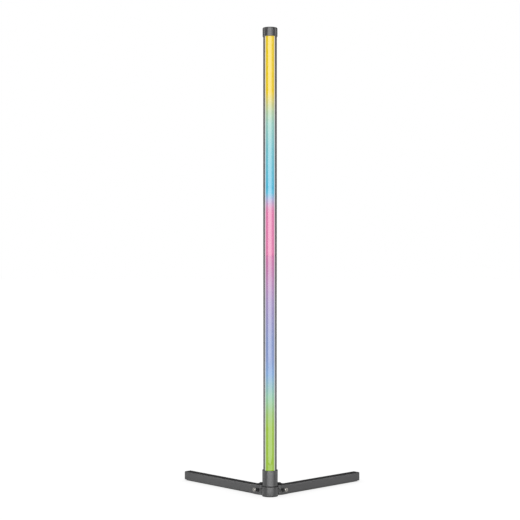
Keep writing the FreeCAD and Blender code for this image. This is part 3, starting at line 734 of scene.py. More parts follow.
class Body(Enum):
    """The bodies that pieces ride on."""

    STAND = "stand"
    LEFT_LEG = "left_leg"
    RIGHT_LEG = "right_leg"


class Kind(Enum):
    """What a pick looks through."""

    FACE = "faces"
    EDGE = "edges"


class Carving(Enum):
    """What stays of a piece when a second shape is laid over it."""

    DIFFERENCE = "all outside the second shape"
    INTERSECT = "all inside the second shape"


def clear_bench() -> None:
    """Leave edit mode and select nothing."""
    if bpy.context.object and bpy.context.object.mode != "OBJECT":
        bpy.ops.object.mode_set(mode="OBJECT")
    bpy.ops.object.select_all(action="DESELECT")


def facing(way: Vector) -> Test:
    """Make a test for faces that look one way.

    Args:
        way: The direction, of length 1.

    Returns:
        The test.
    """
    return lambda face: face.normal.dot(way) > 0.99


def lying_at(height: float) -> Test:
    """Make a test for faces or edges that lie level at one height.

    Args:
        height: The height.

    Returns:
        The test.
    """
    return lambda item: all(abs(corner.co.z - height) < TOUCH for corner in item.verts)


def side_wall(face: bmesh.types.BMFace) -> bool:
    """Whether a face stands upright."""
    return abs(face.normal.z) < 0.01


def side_edge(edge: bmesh.types.BMEdge) -> bool:
    """Whether an edge stands upright."""
    first, second = (corner.co for corner in edge.verts)
    return abs(first.z - second.z) > TOUCH and (first.xy - second.xy).length < TOUCH


def any_item(_: Any) -> bool:
    """Pass everything."""
    return True


class Workpiece:
    """A mesh on the bench, shaped with the modelling operators.

    Attributes:
        name: The name of the finished piece.
        piece: Its object.
    """

    def __init__(self, name: str) -> None:
        """Name the piece; a start method then gives it its first shape."""
        self.name = name
        self.piece: bpy.types.Object = None

    def take_up(self) -> "Workpiece":
        """Take the new primitive and put its place in its mesh.

        Returns:
            The piece, open for editing.
        """
        self.piece = bpy.context.object
        self.piece.name = self.name
        bpy.ops.object.transform_apply(location=True, rotation=True, scale=True)
        bpy.ops.object.mode_set(mode="EDIT")
        return self

    def rod(self, radius: float, low: float, high: float, sides: int = 64) -> "Workpiece":
        """Start from an upright rod round the Z axis.

        Args:
            radius: Its radius, to its corners.
            low: The height of its foot.
            high: The height of its head.
            sides: The number of its sides.

        Returns:
            The piece, open for editing.
        """
        return self.cone(radius, radius, low, high, sides)

    def cone(
        self, foot: float, head: float, low: float, high: float, sides: int = 64
    ) -> "Workpiece":
        """Start from an upright cone with a flat end, round the Z axis.

        Args:
            foot: The radius at its foot.
            head: The radius at its head.
            low: The height of its foot.
            high: The height of its head.
            sides: The number of its sides.

        Returns:
            The piece, open for editing.
        """
        clear_bench()
        bpy.ops.mesh.primitive_cone_add(
            vertices=sides, radius1=foot, radius2=head, depth=high - low,
            location=(0, 0, (low + high) / 2), rotation=(0, 0, math.pi / 2),
        )
        return self.take_up()

    def block(self, low: Vector, high: Vector) -> "Workpiece":
        """Start from a block.

        Args:
            low: Its lowest corner.
            high: Its highest corner.

        Returns:
            The piece, open for editing.
        """
        clear_bench()
        bpy.ops.mesh.primitive_cube_add(size=1, location=(low + high) / 2, scale=high - low)
        return self.take_up()

    def ball(self, middle: Vector, radius: float) -> "Workpiece":
        """Start from a ball.

        Args:
            middle: Its middle.
            radius: Its radius.

        Returns:
            The piece, open for editing.
        """
        clear_bench()
        bpy.ops.mesh.primitive_uv_sphere_add(
            segments=24, ring_count=12, radius=radius, location=middle
        )
        return self.take_up()

    def pick(self, kind: Kind, test: Test) -> "Workpiece":
        """Select the faces or edges that pass a test, and nothing else.

        Args:
            kind: What to look through.
            test: The test.

        Returns:
            The piece, for the next step.
        """
        bpy.ops.mesh.select_mode(type=kind.name)
        bpy.ops.mesh.select_all(action="DESELECT")
        mesh = bmesh.from_edit_mesh(self.piece.data)
        mesh.normal_update()
        for item in getattr(mesh, kind.value):
            if test(item):
                item.select_set(True)
        bmesh.update_edit_mesh(self.piece.data)
        return self

    def inset(self, margin: float, depth: float = 0.0, each: bool = False) -> "Workpiece":
        """Draw the picked faces in from their rim.

        Args:
            margin: How far in.
            depth: How far the inner part is raised.
            each: Whether each face is drawn in by itself.

        Returns:
            The piece, with the inner part picked.
        """
        bpy.ops.mesh.inset(thickness=margin, depth=depth, use_individual=each)
        return self

    def extrude(self, along: Vector) -> "Workpiece":
        """Pull the picked faces out along a vector."""
        bpy.ops.mesh.extrude_region_move(TRANSFORM_OT_translate={"value": along})
        return self

    def groove(self, margin: float, width: float, depth: Vector) -> "Workpiece":
        """Sink a groove into the picked end face.

        Args:
            margin: The distance from the face's rim.
            width: The groove's width.
            depth: The way into the piece, as long as the groove is deep.

        Returns:
            The piece, with the face inside the groove picked.
        """
        return self.inset(margin).extrude(depth).inset(width).extrude(-depth)

    def bevel(self, width: float, steps: int = 3) -> "Workpiece":
        """Round the picked edges in a few steps, or bevel them in one."""
        bpy.ops.mesh.bevel(offset=width, segments=steps, affect="EDGES")
        return self

    def squeeze(self, factors: Vector, about: Vector) -> "Workpiece":
        """Scale what is picked about a point."""
        bpy.ops.transform.resize(value=factors, center_override=about)
        return self

    def carve(self, second: "Workpiece", way: Carving = Carving.DIFFERENCE) -> "Workpiece":
        """Lay a second shape over this one, and use it up.

        Args:
            second: The second shape.
            way: What stays.

        Returns:
            The piece, open for editing.
        """
        clear_bench()
        knife = self.piece.modifiers.new("carving", "BOOLEAN")
        knife.operation = way.name
        knife.solver = "EXACT"
        knife.object = second.piece
        self.apply(knife)
        bpy.data.objects.remove(second.piece)
        bpy.ops.object.mode_set(mode="EDIT")
        return self

    def row(self, count: int, step: Vector) -> "Workpiece":
        """Repeat the whole shape in a row.

        Args:
            count: How many there are in all.
            step: The way from one to the next.

        Returns:
            The piece, open for editing.
        """
        clear_bench()
        line = self.piece.modifiers.new("row", "ARRAY")
        line.count = count
        line.use_relative_offset = False
        line.use_constant_offset = True
        line.constant_offset_displace = step
        self.apply(line)
        bpy.ops.object.mode_set(mode="EDIT")
        return self

    def apply(self, modifier: bpy.types.Modifier) -> None:
        """Make a modifier's shape the mesh itself.

        Args:
            modifier: The modifier, on this piece.
        """
        self.piece.select_set(True)
        bpy.context.view_layer.objects.active = self.piece
        bpy.ops.object.modifier_apply(modifier=modifier.name)

    def add(self, *others: "Workpiece") -> "Workpiece":
        """Join other shapes to this one as closed shells of their own.

        Args:
            others: The other shapes, which are used up.

        Returns:
            The piece, open for editing.
        """
        clear_bench()
        for item in (*others, self):
            item.piece.select_set(True)
        bpy.context.view_layer.objects.active = self.piece
        bpy.ops.object.join()
        bpy.ops.object.mode_set(mode="EDIT")
        return self

    def copy(self, name: str) -> "Workpiece":
        """Make a second shape like this one, with a mesh of its own.

        Args:
            name: The second shape's name.

        Returns:
            The second shape, closed for editing.
        """
        clear_bench()
        twin = Workpiece(name)
        twin.piece = self.piece.copy()
        twin.piece.data = self.piece.data.copy()
        twin.piece.name = name
        bpy.context.scene.collection.objects.link(twin.piece)
        return twin

    def place(self, *moves: Matrix) -> "Workpiece":
        """Move the whole shape, with the last move made first.

        Args:
            moves: The moves.

        Returns:
            The piece, closed for editing.
        """
        clear_bench()
        path = Matrix.Identity(4)
        for move in moves:
            path = path @ move
        self.piece.matrix_world = path
        self.piece.select_set(True)
        bpy.context.view_layer.objects.active = self.piece
        bpy.ops.object.transform_apply(location=True, rotation=True, scale=True)
        return self

    def scrap(self) -> None:
        """Remove a pattern once its copies are made."""
        clear_bench()
        bpy.data.objects.remove(self.piece)

    def done(
        self, finish: Finish, body: Body, *stands_for: str, smooth: float = 30.0
    ) -> bpy.types.Object:
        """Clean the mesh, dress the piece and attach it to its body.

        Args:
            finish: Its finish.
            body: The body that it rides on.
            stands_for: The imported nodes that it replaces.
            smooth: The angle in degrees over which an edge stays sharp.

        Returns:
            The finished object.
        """
        clear_bench()
        self.piece.select_set(True)
        bpy.context.view_layer.objects.active = self.piece
        bpy.ops.object.mode_set(mode="EDIT")
        bpy.ops.mesh.select_all(action="SELECT")
        bpy.ops.mesh.remove_doubles(threshold=0.001 * MM)
        bpy.ops.mesh.normals_make_consistent(inside=False)
        bpy.ops.object.mode_set(mode="OBJECT")
        bpy.ops.object.shade_smooth_by_angle(angle=math.radians(smooth))
        self.piece.data.materials.clear()
        self.piece.data.materials.append(finish.material())
        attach(self.piece, body.value)
        if stands_for:
            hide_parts(*stands_for)
        LOG.info("%s: %d faces", self.name, len(self.piece.data.polygons))
        return self.piece


def shift(x: float = 0.0, y: float = 0.0, z: float = 0.0) -> Matrix:
    """A straight move."""
    return Matrix.Translation((x, y, z))


def turn(degrees: float, axis: str = "Z") -> Matrix:
    """A turn about an axis through the origin."""
    return Matrix.Rotation(math.radians(degrees), 4, axis)


# ---------------------------------------------------------------- fasteners


@dataclass(frozen=True)
class Pattern:
    """A shape that is modelled once and copied to each of its places."""

    def model(self, name: str) -> Workpiece:
        """Model the shape; each kind of pattern has its own.

        Args:
            name: Its name.

        Returns:
            The shape on the bench.
        """
        raise NotImplementedError


class Tray:
    """The patterns that have been modelled so far."""

    def __init__(self) -> None:
        """Start with an empty tray."""
        self.patterns: dict[Pattern, Workpiece] = {}

    def take(self, pattern: Pattern, name: str) -> Workpiece:
        """Take a copy of a pattern, which is modelled when it is first asked for.

        Args:
            pattern: The pattern.
            name: The copy's name.

        Returns:
            The copy, where the pattern stands.
        """
        if pattern not in self.patterns:
            self.patterns[pattern] = pattern.model("pattern")
        return self.patterns[pattern].copy(name)

    def clear(self) -> None:
        """Scrap the patterns once every place has its copy."""
        for piece in self.patterns.values():
            piece.scrap()
        self.patterns.clear()


class Drive(Enum):
    """The recess that a key or a driver goes into."""

    HEXAGON = "hexagon socket"
    CROSS = "cross recess"


@dataclass(frozen=True)
class Screw(Pattern):
    """A screw on the Z axis: its head stands on z = 0, its shank runs down from there.

    Attributes:
        radius: The shank's radius over its thread.
        plain: The length of the plain shank.
        threaded: The length of the thread.
        pitch: The thread's pitch.
        head: The head's radius; 0 for a screw with no head.
        height: The head's height.
        crown: The radius of the rounding at the head's top.
        drive: The kind of recess.
        key: The recess's width across its flats, or over its wings.
        key_depth: The recess's depth.
        knurled: Whether the head's side is knurled.
    """

    radius: float
    plain: float
    threaded: float
    pitch: float
    head: float
    height: float
    crown: float
    drive: Drive
    key: float
    key_depth: float
    knurled: bool = False

    THREAD_SHARE: ClassVar[float] = 0.6134
    KNURL: ClassVar[float] = 0.1 * MM
    WING_SHARE: ClassVar[float] = 0.18

    def model(self, name: str) -> Workpiece:
        """Model the screw.

        Args:
            name: Its name.

        Returns:
            The screw on the bench.
        """
        core = self.radius - self.THREAD_SHARE * self.pitch
        tip = -self.plain - self.threaded
        if self.head:
            across = self.head - self.KNURL if self.knurled else self.head
            screw = Workpiece(name).rod(across, 0, self.height)
            screw.pick(Kind.EDGE, lying_at(self.height)).bevel(self.crown, 5)
            if self.knurled:
                screw.pick(Kind.FACE, side_wall).inset(0.06 * MM, self.KNURL, each=True)
            screw.pick(Kind.FACE, lying_at(0)).inset(across - self.radius)
            if self.plain:
                screw.extrude(self.plain * DOWN)
            screw.inset(self.radius - core).extrude(self.threaded * DOWN)
        else:
            screw = Workpiece(name).rod(core, tip, 0)
        screw.pick(Kind.EDGE, lying_at(tip)).bevel(0.5 * self.pitch, 1)
        self.sink_drive(screw)
        return screw.add(self.wind_thread())

    def sink_drive(self, screw: Workpiece) -> None:
        """Sink the recess into the top of a screw.

        Args:
            screw: The screw on the bench.
        """
        floor = self.height - self.key_depth
        over = self.height + MM
        if self.drive is Drive.HEXAGON:
            corner = self.key / math.sqrt(3)
            socket = Workpiece("socket").rod(corner, floor, over, 6)
            socket.pick(Kind.FACE, facing(DOWN)).inset(0.2 * corner).extrude(0.15 * self.key * DOWN)
            socket.squeeze(Vector((0.3, 0.3, 1)), Vector((0, 0, floor)))
            screw.carve(socket)
            lip = 0.10 * self.key
            cone = Workpiece("lip").cone(corner, corner + lip + MM, self.height - lip, over)
            screw.carve(cone)
        else:
            wing = self.WING_SHARE * self.key / 2
            for long, short in ((self.key / 2, wing), (wing, self.key / 2)):
                slot = Workpiece("slot").block(
                    Vector((-long, -short, floor)), Vector((long, short, over))
                )
                slot.pick(Kind.FACE, facing(DOWN))
                slot.squeeze(Vector((0.45, 0.45, 1)), Vector((0, 0, floor)))
                screw.carve(slot)

    def wind_thread(self) -> Workpiece:
        """Wind the thread's ridge: a triangle run up a helix, closed at both ends.

        Returns:
            The ridge on the bench.
        """
        clear_bench()
        reach = self.pitch / 2
        turns = int(self.threaded / self.pitch - 1.2)
        low = -self.plain - self.threaded + 0.6 * self.pitch
        bpy.ops.mesh.primitive_circle_add(
            vertices=3, radius=reach, location=(self.radius - reach, 0, low),
            rotation=(math.pi / 2, math.pi / 2, 0),
        )
        ridge = Workpiece("ridge").take_up()
        clear_bench()
        helix = ridge.piece.modifiers.new("helix", "SCREW")
        helix.screw_offset = self.pitch
        helix.iterations = turns
        helix.steps = 20
        helix.render_steps = 20
        ridge.apply(helix)
        bpy.ops.object.mode_set(mode="EDIT")
        bpy.ops.mesh.select_all(action="SELECT")
        bpy.ops.mesh.fill_holes(sides=0)
        return ridge


@dataclass(frozen=True)
class HexNut(Pattern):
    """A chamfered nut that stands on z = 0 with two corners on the X axis.

    Attributes:
        flats: Its width across the flats.
        height: Its height.
        bore: The radius of its hole.
    """

    flats: float
    height: float
    bore: float

    def model(self, name: str) -> Workpiece:
        """Model the nut.

        Args:
            name: Its name.

        Returns:
            The nut on the bench.
        """
        corner = self.flats / math.sqrt(3)
        nut = Workpiece(name).rod(0.985 * corner, 0, self.height, 96)
        nut.pick(Kind.EDGE, lambda edge: not side_edge(edge)).bevel(0.09 * self.flats, 1)
        nut.carve(Workpiece("bar").rod(corner, -MM, self.height + MM, 6), Carving.INTERSECT)
        nut.carve(Workpiece("hole").rod(self.bore, -MM, self.height + MM, 48))
        lip = 0.12 * self.bore
        for foot, head, low, high in (
            (self.bore + 2 * lip, self.bore, -lip, lip),
            (self.bore, self.bore + 2 * lip, self.height - lip, self.height + lip),
        ):
            nut.carve(Workpiece("lip").cone(foot, head, low, high, 48))
        return nut


# ---------------------------------------------------------------- patterns


@dataclass(frozen=True)
class LightPackage(Pattern):
    """A light package that faces -Y, at the level of z = 0, with its back on the strip.

    Attributes:
        half: Half its width and height over the solder tabs.
        front: The Y of its face.
        back: The Y of its back.
        window: The radius of the round window.
        depth: The depth of the window.
    """

    half: float = 2.5 * MM
    front: float = 0.9 * MM
    back: float = 2.5 * MM
    window: float = 1.9 * MM
    depth: float = 0.45 * MM

    TAB: ClassVar[Vector] = Vector((0.4, 0.25, 0.7)) * MM

    def model(self, name: str) -> Workpiece:
        """Model the package: a bevelled box, a round window and three tabs on each side.

        Args:
            name: Its name.

        Returns:
            The shape on the bench.
        """
        waist = self.half - self.TAB.x / 2
        package = Workpiece(name).block(
            Vector((-waist, self.front, -self.half)), Vector((waist, self.back, self.half))
        )
        package.pick(Kind.EDGE, any_item).bevel(0.12 * MM, 1)
        cup = Workpiece("cup").cone(0.8 * self.window, 1.2 * self.window, 0, 2 * self.depth, 28)
        package.carve(cup.place(shift(y=self.front + self.depth), turn(90, "X")))
        corner = Vector((-self.half, self.back - self.TAB.y, -self.half + self.TAB.z / 2))
        tabs = Workpiece("tabs").block(corner, corner + self.TAB)
        tabs.row(3, Vector((0, 0, (2 * self.half - 2 * self.TAB.z) / 2)))
        clear_bench()
        others = tabs.copy("tabs").place(shift(x=2 * self.half - self.TAB.x))
        return package.add(tabs, others)


@dataclass(frozen=True)
class LegPad(Pattern):
    """A long rubber pad with rounded ends, about the origin and standing on z = 0.

    Attributes:
        half_length: Half its length.
        half_width: Half its width.
        corner: The rounding of its corners.
        thick: Its thickness.
        groove: The width of the grooves beneath.
        sink: The depth of the grooves beneath.
    """

    half_length: float = 14 * MM
    half_width: float = 6 * MM
    corner: float = 5.5 * MM
    thick: float = 1.4 * MM
    groove: float = 0.7 * MM
    sink: float = 0.4 * MM

    def model(self, name: str) -> Workpiece:
        """Model the pad, with two grooves round its underside.

        Args:
            name: Its name.

        Returns:
            The shape on the bench.
        """
        pad = Workpiece(name).block(
            Vector((-self.half_length, -self.half_width, 0)),
            Vector((self.half_length, self.half_width, self.thick)),
        )
        pad.pick(Kind.EDGE, side_edge).bevel(self.corner, 8)
        pad.pick(Kind.EDGE, lying_at(0)).bevel(0.2 * MM, 2)
        pad.pick(Kind.FACE, lying_at(0))
        for _ in range(2):
            pad.groove(1.1 * MM, self.groove, self.sink * UP)
        return pad


@dataclass(frozen=True)
class RoundPad(Pattern):
    """The hub's round rubber pad, on z = 0.

    Attributes:
        radius: Its radius.
        thick: Its thickness.
        groove: The width of the grooves beneath.
        sink: The depth of the grooves beneath.
    """

    radius: float = 17.6 * MM
    thick: float = 2.1 * MM
    groove: float = 0.9 * MM
    sink: float = 0.5 * MM

    def model(self, name: str) -> Workpiece:
        """Model the pad, with three rings sunk into its underside.

        Args:
            name: Its name.

        Returns:
            The shape on the bench.
        """
        pad = Workpiece(name).rod(self.radius, 0, self.thick, 128)
        pad.pick(Kind.EDGE, lying_at(0)).bevel(0.3 * MM, 2)
        pad.pick(Kind.EDGE, lying_at(self.thick)).bevel(0.15 * MM, 2)
        pad.pick(Kind.FACE, lying_at(0))
        for _ in range(3):
            pad.groove(2.4 * MM, self.groove, self.sink * UP)
        return pad


# ---------------------------------------------------------------- sub-assemblies


def middle(node: str) -> Vector:
    """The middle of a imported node's box."""
    low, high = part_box(node)
    return (Vector(low) + Vector(high)) / 2


class SubAssembly:
    """A part of the lamp that is dressed and finished together."""

    def build(self, tray: Tray) -> None:
        """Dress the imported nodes, then model the finer pieces.

        Args:
            tray: The tray of patterns.
        """
        for node, finish in self.finishes().items():
            self.dress(node, finish)
        self.model(tray)

    def finishes(self) -> dict[str, Finish]:
        """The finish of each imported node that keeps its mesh.

        Returns:
            The finish of each node, by the node's name.
        """
        raise NotImplementedError

    def model(self, tray: Tray) -> None:
        """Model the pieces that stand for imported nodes.

        Args:
            tray: The tray of patterns.
        """

    @staticmethod
    def dress(node: str, finish: Finish) -> None:
        """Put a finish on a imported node.

        Args:
            node: The node's name.
            finish: Its finish.
        """
        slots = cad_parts[node].material_slots
        if not slots:
            raise RuntimeError(f"{node} has no material slot")
        for slot in slots:
            slot.material = finish.material()
        LOG.info("%s: %s", node, finish.name)


@dataclass
class PoleSection(SubAssembly):
    """One section of the pole: profile, milky cover, and the strip with its lights.

    Attributes:
        place: Lower or upper.
        glow: The finish of its cover.
        lights: The finish of its lights.
        chips: The finish of the small chips between them.
        chip_half: Half a chip's size along each axis.
    """

    place: str
    glow: Glow
    lights: LitPackage
    chips: Chip
    chip_half: Vector = Vector((0.4, 0.25, 0.8)) * MM

    def finishes(self) -> dict[str, Finish]:
        """The profile, its cover and the bare strip.

        Returns:
            The finish of each node, by the node's name.
        """
        return {
            f"{self.place}_profile": PROFILE,
            f"{self.place}_diffuser": self.glow,
            f"{self.place}_led_strip": STRIP_MASK,
        }

    def model(self, tray: Tray) -> None:
        """The row of light packages, and a chip beside each.

        Args:
            tray: The tray of patterns.
        """
        first = shift(z=self.glow.run.foot + LIGHT_PITCH)
        step = Vector((0, 0, LIGHT_PITCH))
        node = f"{self.place}_leds"
        row = tray.take(LightPackage(), f"{self.place}_light_row").place(first)
        row.row(LIGHT_COUNT, step).done(self.lights, Body.STAND, node)
        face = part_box(f"{self.place}_led_strip")[0][1]
        centre = Vector((0, face - self.chip_half.y + TOUCH, CHIP_OFFSET))
        chips = Workpiece(f"{self.place}_chip_row").block(
            centre - self.chip_half, centre + self.chip_half
        )
        chips.pick(Kind.EDGE, any_item).bevel(0.08 * MM, 1).place(first)
        chips.row(LIGHT_COUNT, step).done(self.chips, Body.STAND)


@dataclass
class PoleJoint(SubAssembly):
    """What joins the two sections: spigot, set screws and the link of the strips.

    Attributes:
        screw: The set screw.
        levels: The heights of the four screws above the joint.
    """

    screw: Screw = Screw(1.5 * MM, 0, 6 * MM, 0.5 * MM, 0, 0, 0, Drive.HEXAGON, 1.5 * MM, 1.6 * MM)
    levels: tuple[float, ...] = (-24 * MM, -10 * MM, 10 * MM, 24 * MM)

    def finishes(self) -> dict[str, Finish]:
        """The spigot and the two halves of the link.

        Returns:
            The finish of each node, by the node's name.
        """
        return {
            "joint_spigot": RAW_ALUMINIUM,
            "strip_link_socket": WHITE_PLASTIC,
            "strip_link_plug": WHITE_PLASTIC,
        }

    def model(self, tray: Tray) -> None:
        """The four set screws, on the dark side of the pole.

        Args:
            tray: The tray of patterns.
        """
        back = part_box("joint_screws")[1][1]
        joint = middle("joint_screws").z
        screws = [
            tray.take(self.screw, "joint_set_screws").place(
                shift(0, back, joint + level), turn(-90, "X")
            )
            for level in self.levels
        ]
        screws[0].add(*screws[1:]).done(BLACK_OXIDE, Body.STAND, "joint_screws")


@dataclass
class PoleEnds(SubAssembly):
    """The cap on the pole's top and the socket on its foot, with their screws.

    Attributes:
        screw: The pan-head screw that cuts its thread in a port.
        bolt: The bolt that draws the socket down on the hub.
    """

    screw: Screw = Screw(1.45 * MM, 0, 14 * MM, 0.7 * MM, 3 * MM, 2.2 * MM, 0.7 * MM,
                         Drive.CROSS, 3.4 * MM, 1.2 * MM)
    bolt: Screw = Screw(3 * MM, 5.5 * MM, 9.5 * MM, MM, 5 * MM, 4 * MM, 0.4 * MM,
                        Drive.HEXAGON, 4 * MM, 2 * MM, knurled=True)

    def finishes(self) -> dict[str, Finish]:
        """Cap, socket, washer and the lead that runs up into the pole.

        Returns:
            The finish of each node, by the node's name.
        """
        return {
            "top_cap": CASTING, "pole_socket": CASTING, "pole_washer": ZINC, "pole_lead": SHEATH,
        }

    def model(self, tray: Tray) -> None:
        """Two screws at each end of the pole, and the bolt beneath it.

        Args:
            tray: The tray of patterns.
        """
        self.set_pair(tray, "cap_screws", BLACK_OXIDE, upright=True)
        self.set_pair(tray, "socket_screws", ZINC, upright=False)
        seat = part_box("pole_bolt")[0][2] + self.bolt.height
        bolt = tray.take(self.bolt, "pole_draw_bolt").place(shift(z=seat), turn(180, "X"))
        bolt.done(ZINC, Body.STAND, "pole_bolt")

    def set_pair(self, tray: Tray, node: str, finish: Finish, upright: bool) -> None:
        """Set two screws where a packed pair stands.

        Args:
            tray: The tray of patterns.
            node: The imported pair.
            finish: Their finish.
            upright: Whether their heads are on top.
        """
        low, high = (Vector(corner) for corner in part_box(node))
        seat = high.z - self.screw.height if upright else low.z + self.screw.height
        screws = [
            tray.take(self.screw, f"{node}_turned").place(
                shift(x, middle(node).y, seat), turn(0 if upright else 180, "X")
            )
            for x in (low.x + self.screw.head, high.x - self.screw.head)
        ]
        screws[0].add(screws[1]).done(finish, Body.STAND, node)


@dataclass
class Hub(SubAssembly):
    """The round hub and what is closed in it.

    Attributes:
        pad: The pad under it.
        shoulder: The Y at which the power inlet's round nose leaves its housing.
        nose: The nose's radius.
        bore: The radius of the hole for the plug.
        bore_depth: The depth of that hole.
        pin: The radius of the pin in it.
    """

    pad: RoundPad = RoundPad()
    shoulder: float = 13.4 * MM
    nose: float = 2.8 * MM
    bore: float = 1.9 * MM
    bore_depth: float = 8 * MM
    pin: float = 0.65 * MM

    def finishes(self) -> dict[str, Finish]:
        """The ring, its plate and screws, the spacers and the board.

        Returns:
            The finish of each node, by the node's name.
        """
        return {
            "hub_ring": CASTING, "hub_bottom_plate": ZINC, "hub_plate_screws": BLACK_OXIDE,
            "board_spacers": NYLON, "controller_board": BOARD_MASK,
        }

    def model(self, tray: Tray) -> None:
        """The pad and the power inlet.

        Args:
            tray: The tray of patterns.
        """
        tray.take(self.pad, "hub_pad").done(RUBBER, Body.STAND, "hub_foot_pad")
        self.fit_inlet()

    def fit_inlet(self) -> None:
        """The power inlet: a housing, its hollow nose through the ring, and a bright pin."""
        low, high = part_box("dc_jack")
        housing = Workpiece("inlet_housing").block(
            low, Vector((high.x, self.shoulder, high.z))
        )
        housing.pick(Kind.EDGE, any_item).bevel(0.3 * MM, 2)
        level = middle("dc_jack").z
        root = self.shoulder - MM
        reach = high.y - root
        back = (shift(0, root, level), turn(-90, "X"))
        nose = Workpiece("nose").rod(self.nose, 0, reach)
        nose.pick(Kind.EDGE, lying_at(reach)).bevel(0.25 * MM, 3)
        deep = reach - self.bore_depth
        bore = Workpiece("bore").rod(self.bore, deep, reach + MM)
        bore.place(*back)
        housing.carve(bore.copy("bore"))
        nose.place(*back).carve(bore)
        housing.add(nose).done(BLACK_PLASTIC, Body.STAND, "dc_jack")
        pin = Workpiece("inlet_pin").rod(self.pin, deep, reach, 32)
        pin.pick(Kind.EDGE, lying_at(reach)).bevel(0.7 * self.pin, 4)
        pin.place(*back).done(NICKEL, Body.STAND, "dc_jack")


@dataclass(frozen=True)
class Footprint:
    """Where a part stands on the board, and its size.

    Attributes:
        x: Its middle across the board.
        y: Its middle along the board.
        wide: Half its width.
        deep: Half its depth.
        high: Its height.
    """

    x: float
    y: float
    wide: float
    deep: float
    high: float


@dataclass
class Controller(SubAssembly):
    """The parts on the board: header, processor, driver, capacitor and receiver.

    Attributes:
        header: The header's place and size.
        processor: The processor's.
        driver: The driver's.
        receiver: The receiver's.
        capacitor: The capacitor's.
        lead: The width of a chip's leg.
        bulge: How far the receiver's lens stands out.
    """

    header: Footprint = Footprint(0.0, -9 * MM, 3.2 * MM, 2 * MM, 3.6 * MM)
    processor: Footprint = Footprint(-7.5 * MM, -6.5 * MM, 2 * MM, 2 * MM, MM)
    driver: Footprint = Footprint(7 * MM, -7 * MM, 1.5 * MM, 2 * MM, 1.4 * MM)
    receiver: Footprint = Footprint(7 * MM, 7 * MM, 2 * MM, 1.5 * MM, 4.2 * MM)
    capacitor: Footprint = Footprint(-7.4 * MM, 7.4 * MM, 2.5 * MM, 2.5 * MM, 5.5 * MM)
    lead: float = 0.25 * MM
    bulge: float = 0.6 * MM

    def finishes(self) -> dict[str, Finish]:
        """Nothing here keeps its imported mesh.

        Returns:
            The finish of each node, by the node's name.
        """
        return {}

    def model(self, tray: Tray) -> None:
        """Model the parts in the order of their places round the board.

        Args:
            tray: The tray of patterns.
        """
        self.seat_header()
        self.seat_chip("processor_chip", self.processor, 6)
        self.seat_chip("driver_chip", self.driver, 3)
        self.seat_receiver()
        self.seat_capacitor()

    @staticmethod
    def board() -> float:
        """The height of the board's upper face."""
        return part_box("controller_board")[1][2]

    def hand_in(self, piece: Workpiece, finish: Finish, spot: Footprint) -> None:
        """Set a finished part on the board.

        Args:
            piece: The part, standing on z = 0.
            finish: Its finish.
            spot: Its place on the board.
        """
        there = shift(spot.x, spot.y, self.board())
        piece.place(there).done(finish, Body.STAND, "controller_parts")

    def seat_header(self) -> None:
        """The header: a housing with a slot in each long side, and the lead's collar on top."""
        spot = self.header
        housing = Workpiece("lead_header").block(
            Vector((-spot.wide, -spot.deep, 0)), Vector((spot.wide, spot.deep, spot.high))
        )
        housing.pick(Kind.FACE, lambda face: abs(face.normal.y) > 0.99)
        housing.inset(0.8 * MM, each=True).inset(0.01 * MM, -0.3 * MM, each=True)
        housing.pick(Kind.EDGE, lying_at(spot.high)).bevel(0.2 * MM, 2)
        self.hand_in(housing, WHITE_PLASTIC, spot)

    def seat_chip(self, name: str, spot: Footprint, legs: int) -> None:
        """A flat chip with legs on two sides.

        Args:
            name: Its name.
            spot: Its place and its size over the legs.
            legs: The number of legs on each side.
        """
        body = spot.wide - 0.5 * MM
        chip = Workpiece(name).block(
            Vector((-body, -spot.deep, 0.1 * MM)), Vector((body, spot.deep, spot.high))
        )
        chip.pick(Kind.EDGE, any_item).bevel(0.12 * MM, 1)
        pitch = (2 * spot.deep - 2 * self.lead) / (legs - 1 + 0.5)
        foot = Vector((-spot.wide, -pitch * (legs - 1) / 2 - self.lead / 2, 0))
        leg = Workpiece("leg").block(foot, foot + Vector((0.6 * MM, self.lead, 0.15 * MM)))
        leg.pick(Kind.FACE, lambda face: face.normal.x > 0.99)
        leg.extrude(Vector((0.1 * MM, 0, 0.3 * spot.high)))
        leg.row(legs, Vector((0, pitch, 0)))
        twin = leg.copy("leg").place(turn(180))
        self.hand_in(chip.add(leg, twin), BLACK_PLASTIC, spot)

    def seat_receiver(self) -> None:
        """The receiver for the remote control: a body with a round lens on its front."""
        spot = self.receiver
        front = self.bulge - spot.deep
        eye = Workpiece("receiver_eye").block(
            Vector((-spot.wide, front, 0)), Vector((spot.wide, spot.deep, spot.high))
        )
        eye.pick(Kind.EDGE, side_edge).bevel(0.4 * MM, 3)
        centre = Vector((0, front, 0.55 * spot.high))
        lens = Workpiece("lens").ball(centre, 2 * self.bulge)
        lens.squeeze(Vector((1, 0.5, 1)), centre)
        self.hand_in(eye.add(lens), BLACK_PLASTIC, spot)

    def seat_capacitor(self) -> None:
        """The capacitor: a can with a rolled groove near its foot and a scored top."""
        spot = self.capacitor
        radius, high = spot.wide, spot.high
        can = Workpiece("smoothing_capacitor").rod(radius, 0, 0.18 * high)
        can.pick(Kind.FACE, facing(UP))
        for rise, waist in ((0.03, 0.9), (0.04, 1.0), (0.03, 1 / 0.9), (0.72, 1.0)):
            can.extrude(rise * high * UP).squeeze(Vector((waist, waist, 1)), Vector())
        can.pick(Kind.EDGE, lying_at(high)).bevel(0.4 * MM, 3)
        for turned in (0, 90):
            score = Workpiece("score").block(
                Vector((-0.7 * radius, -0.06 * MM, high - 0.12 * MM)),
                Vector((0.7 * radius, 0.06 * MM, high + MM)),
            )
            can.carve(score.place(turn(turned)))
        self.hand_in(can, RAW_ALUMINIUM, spot)


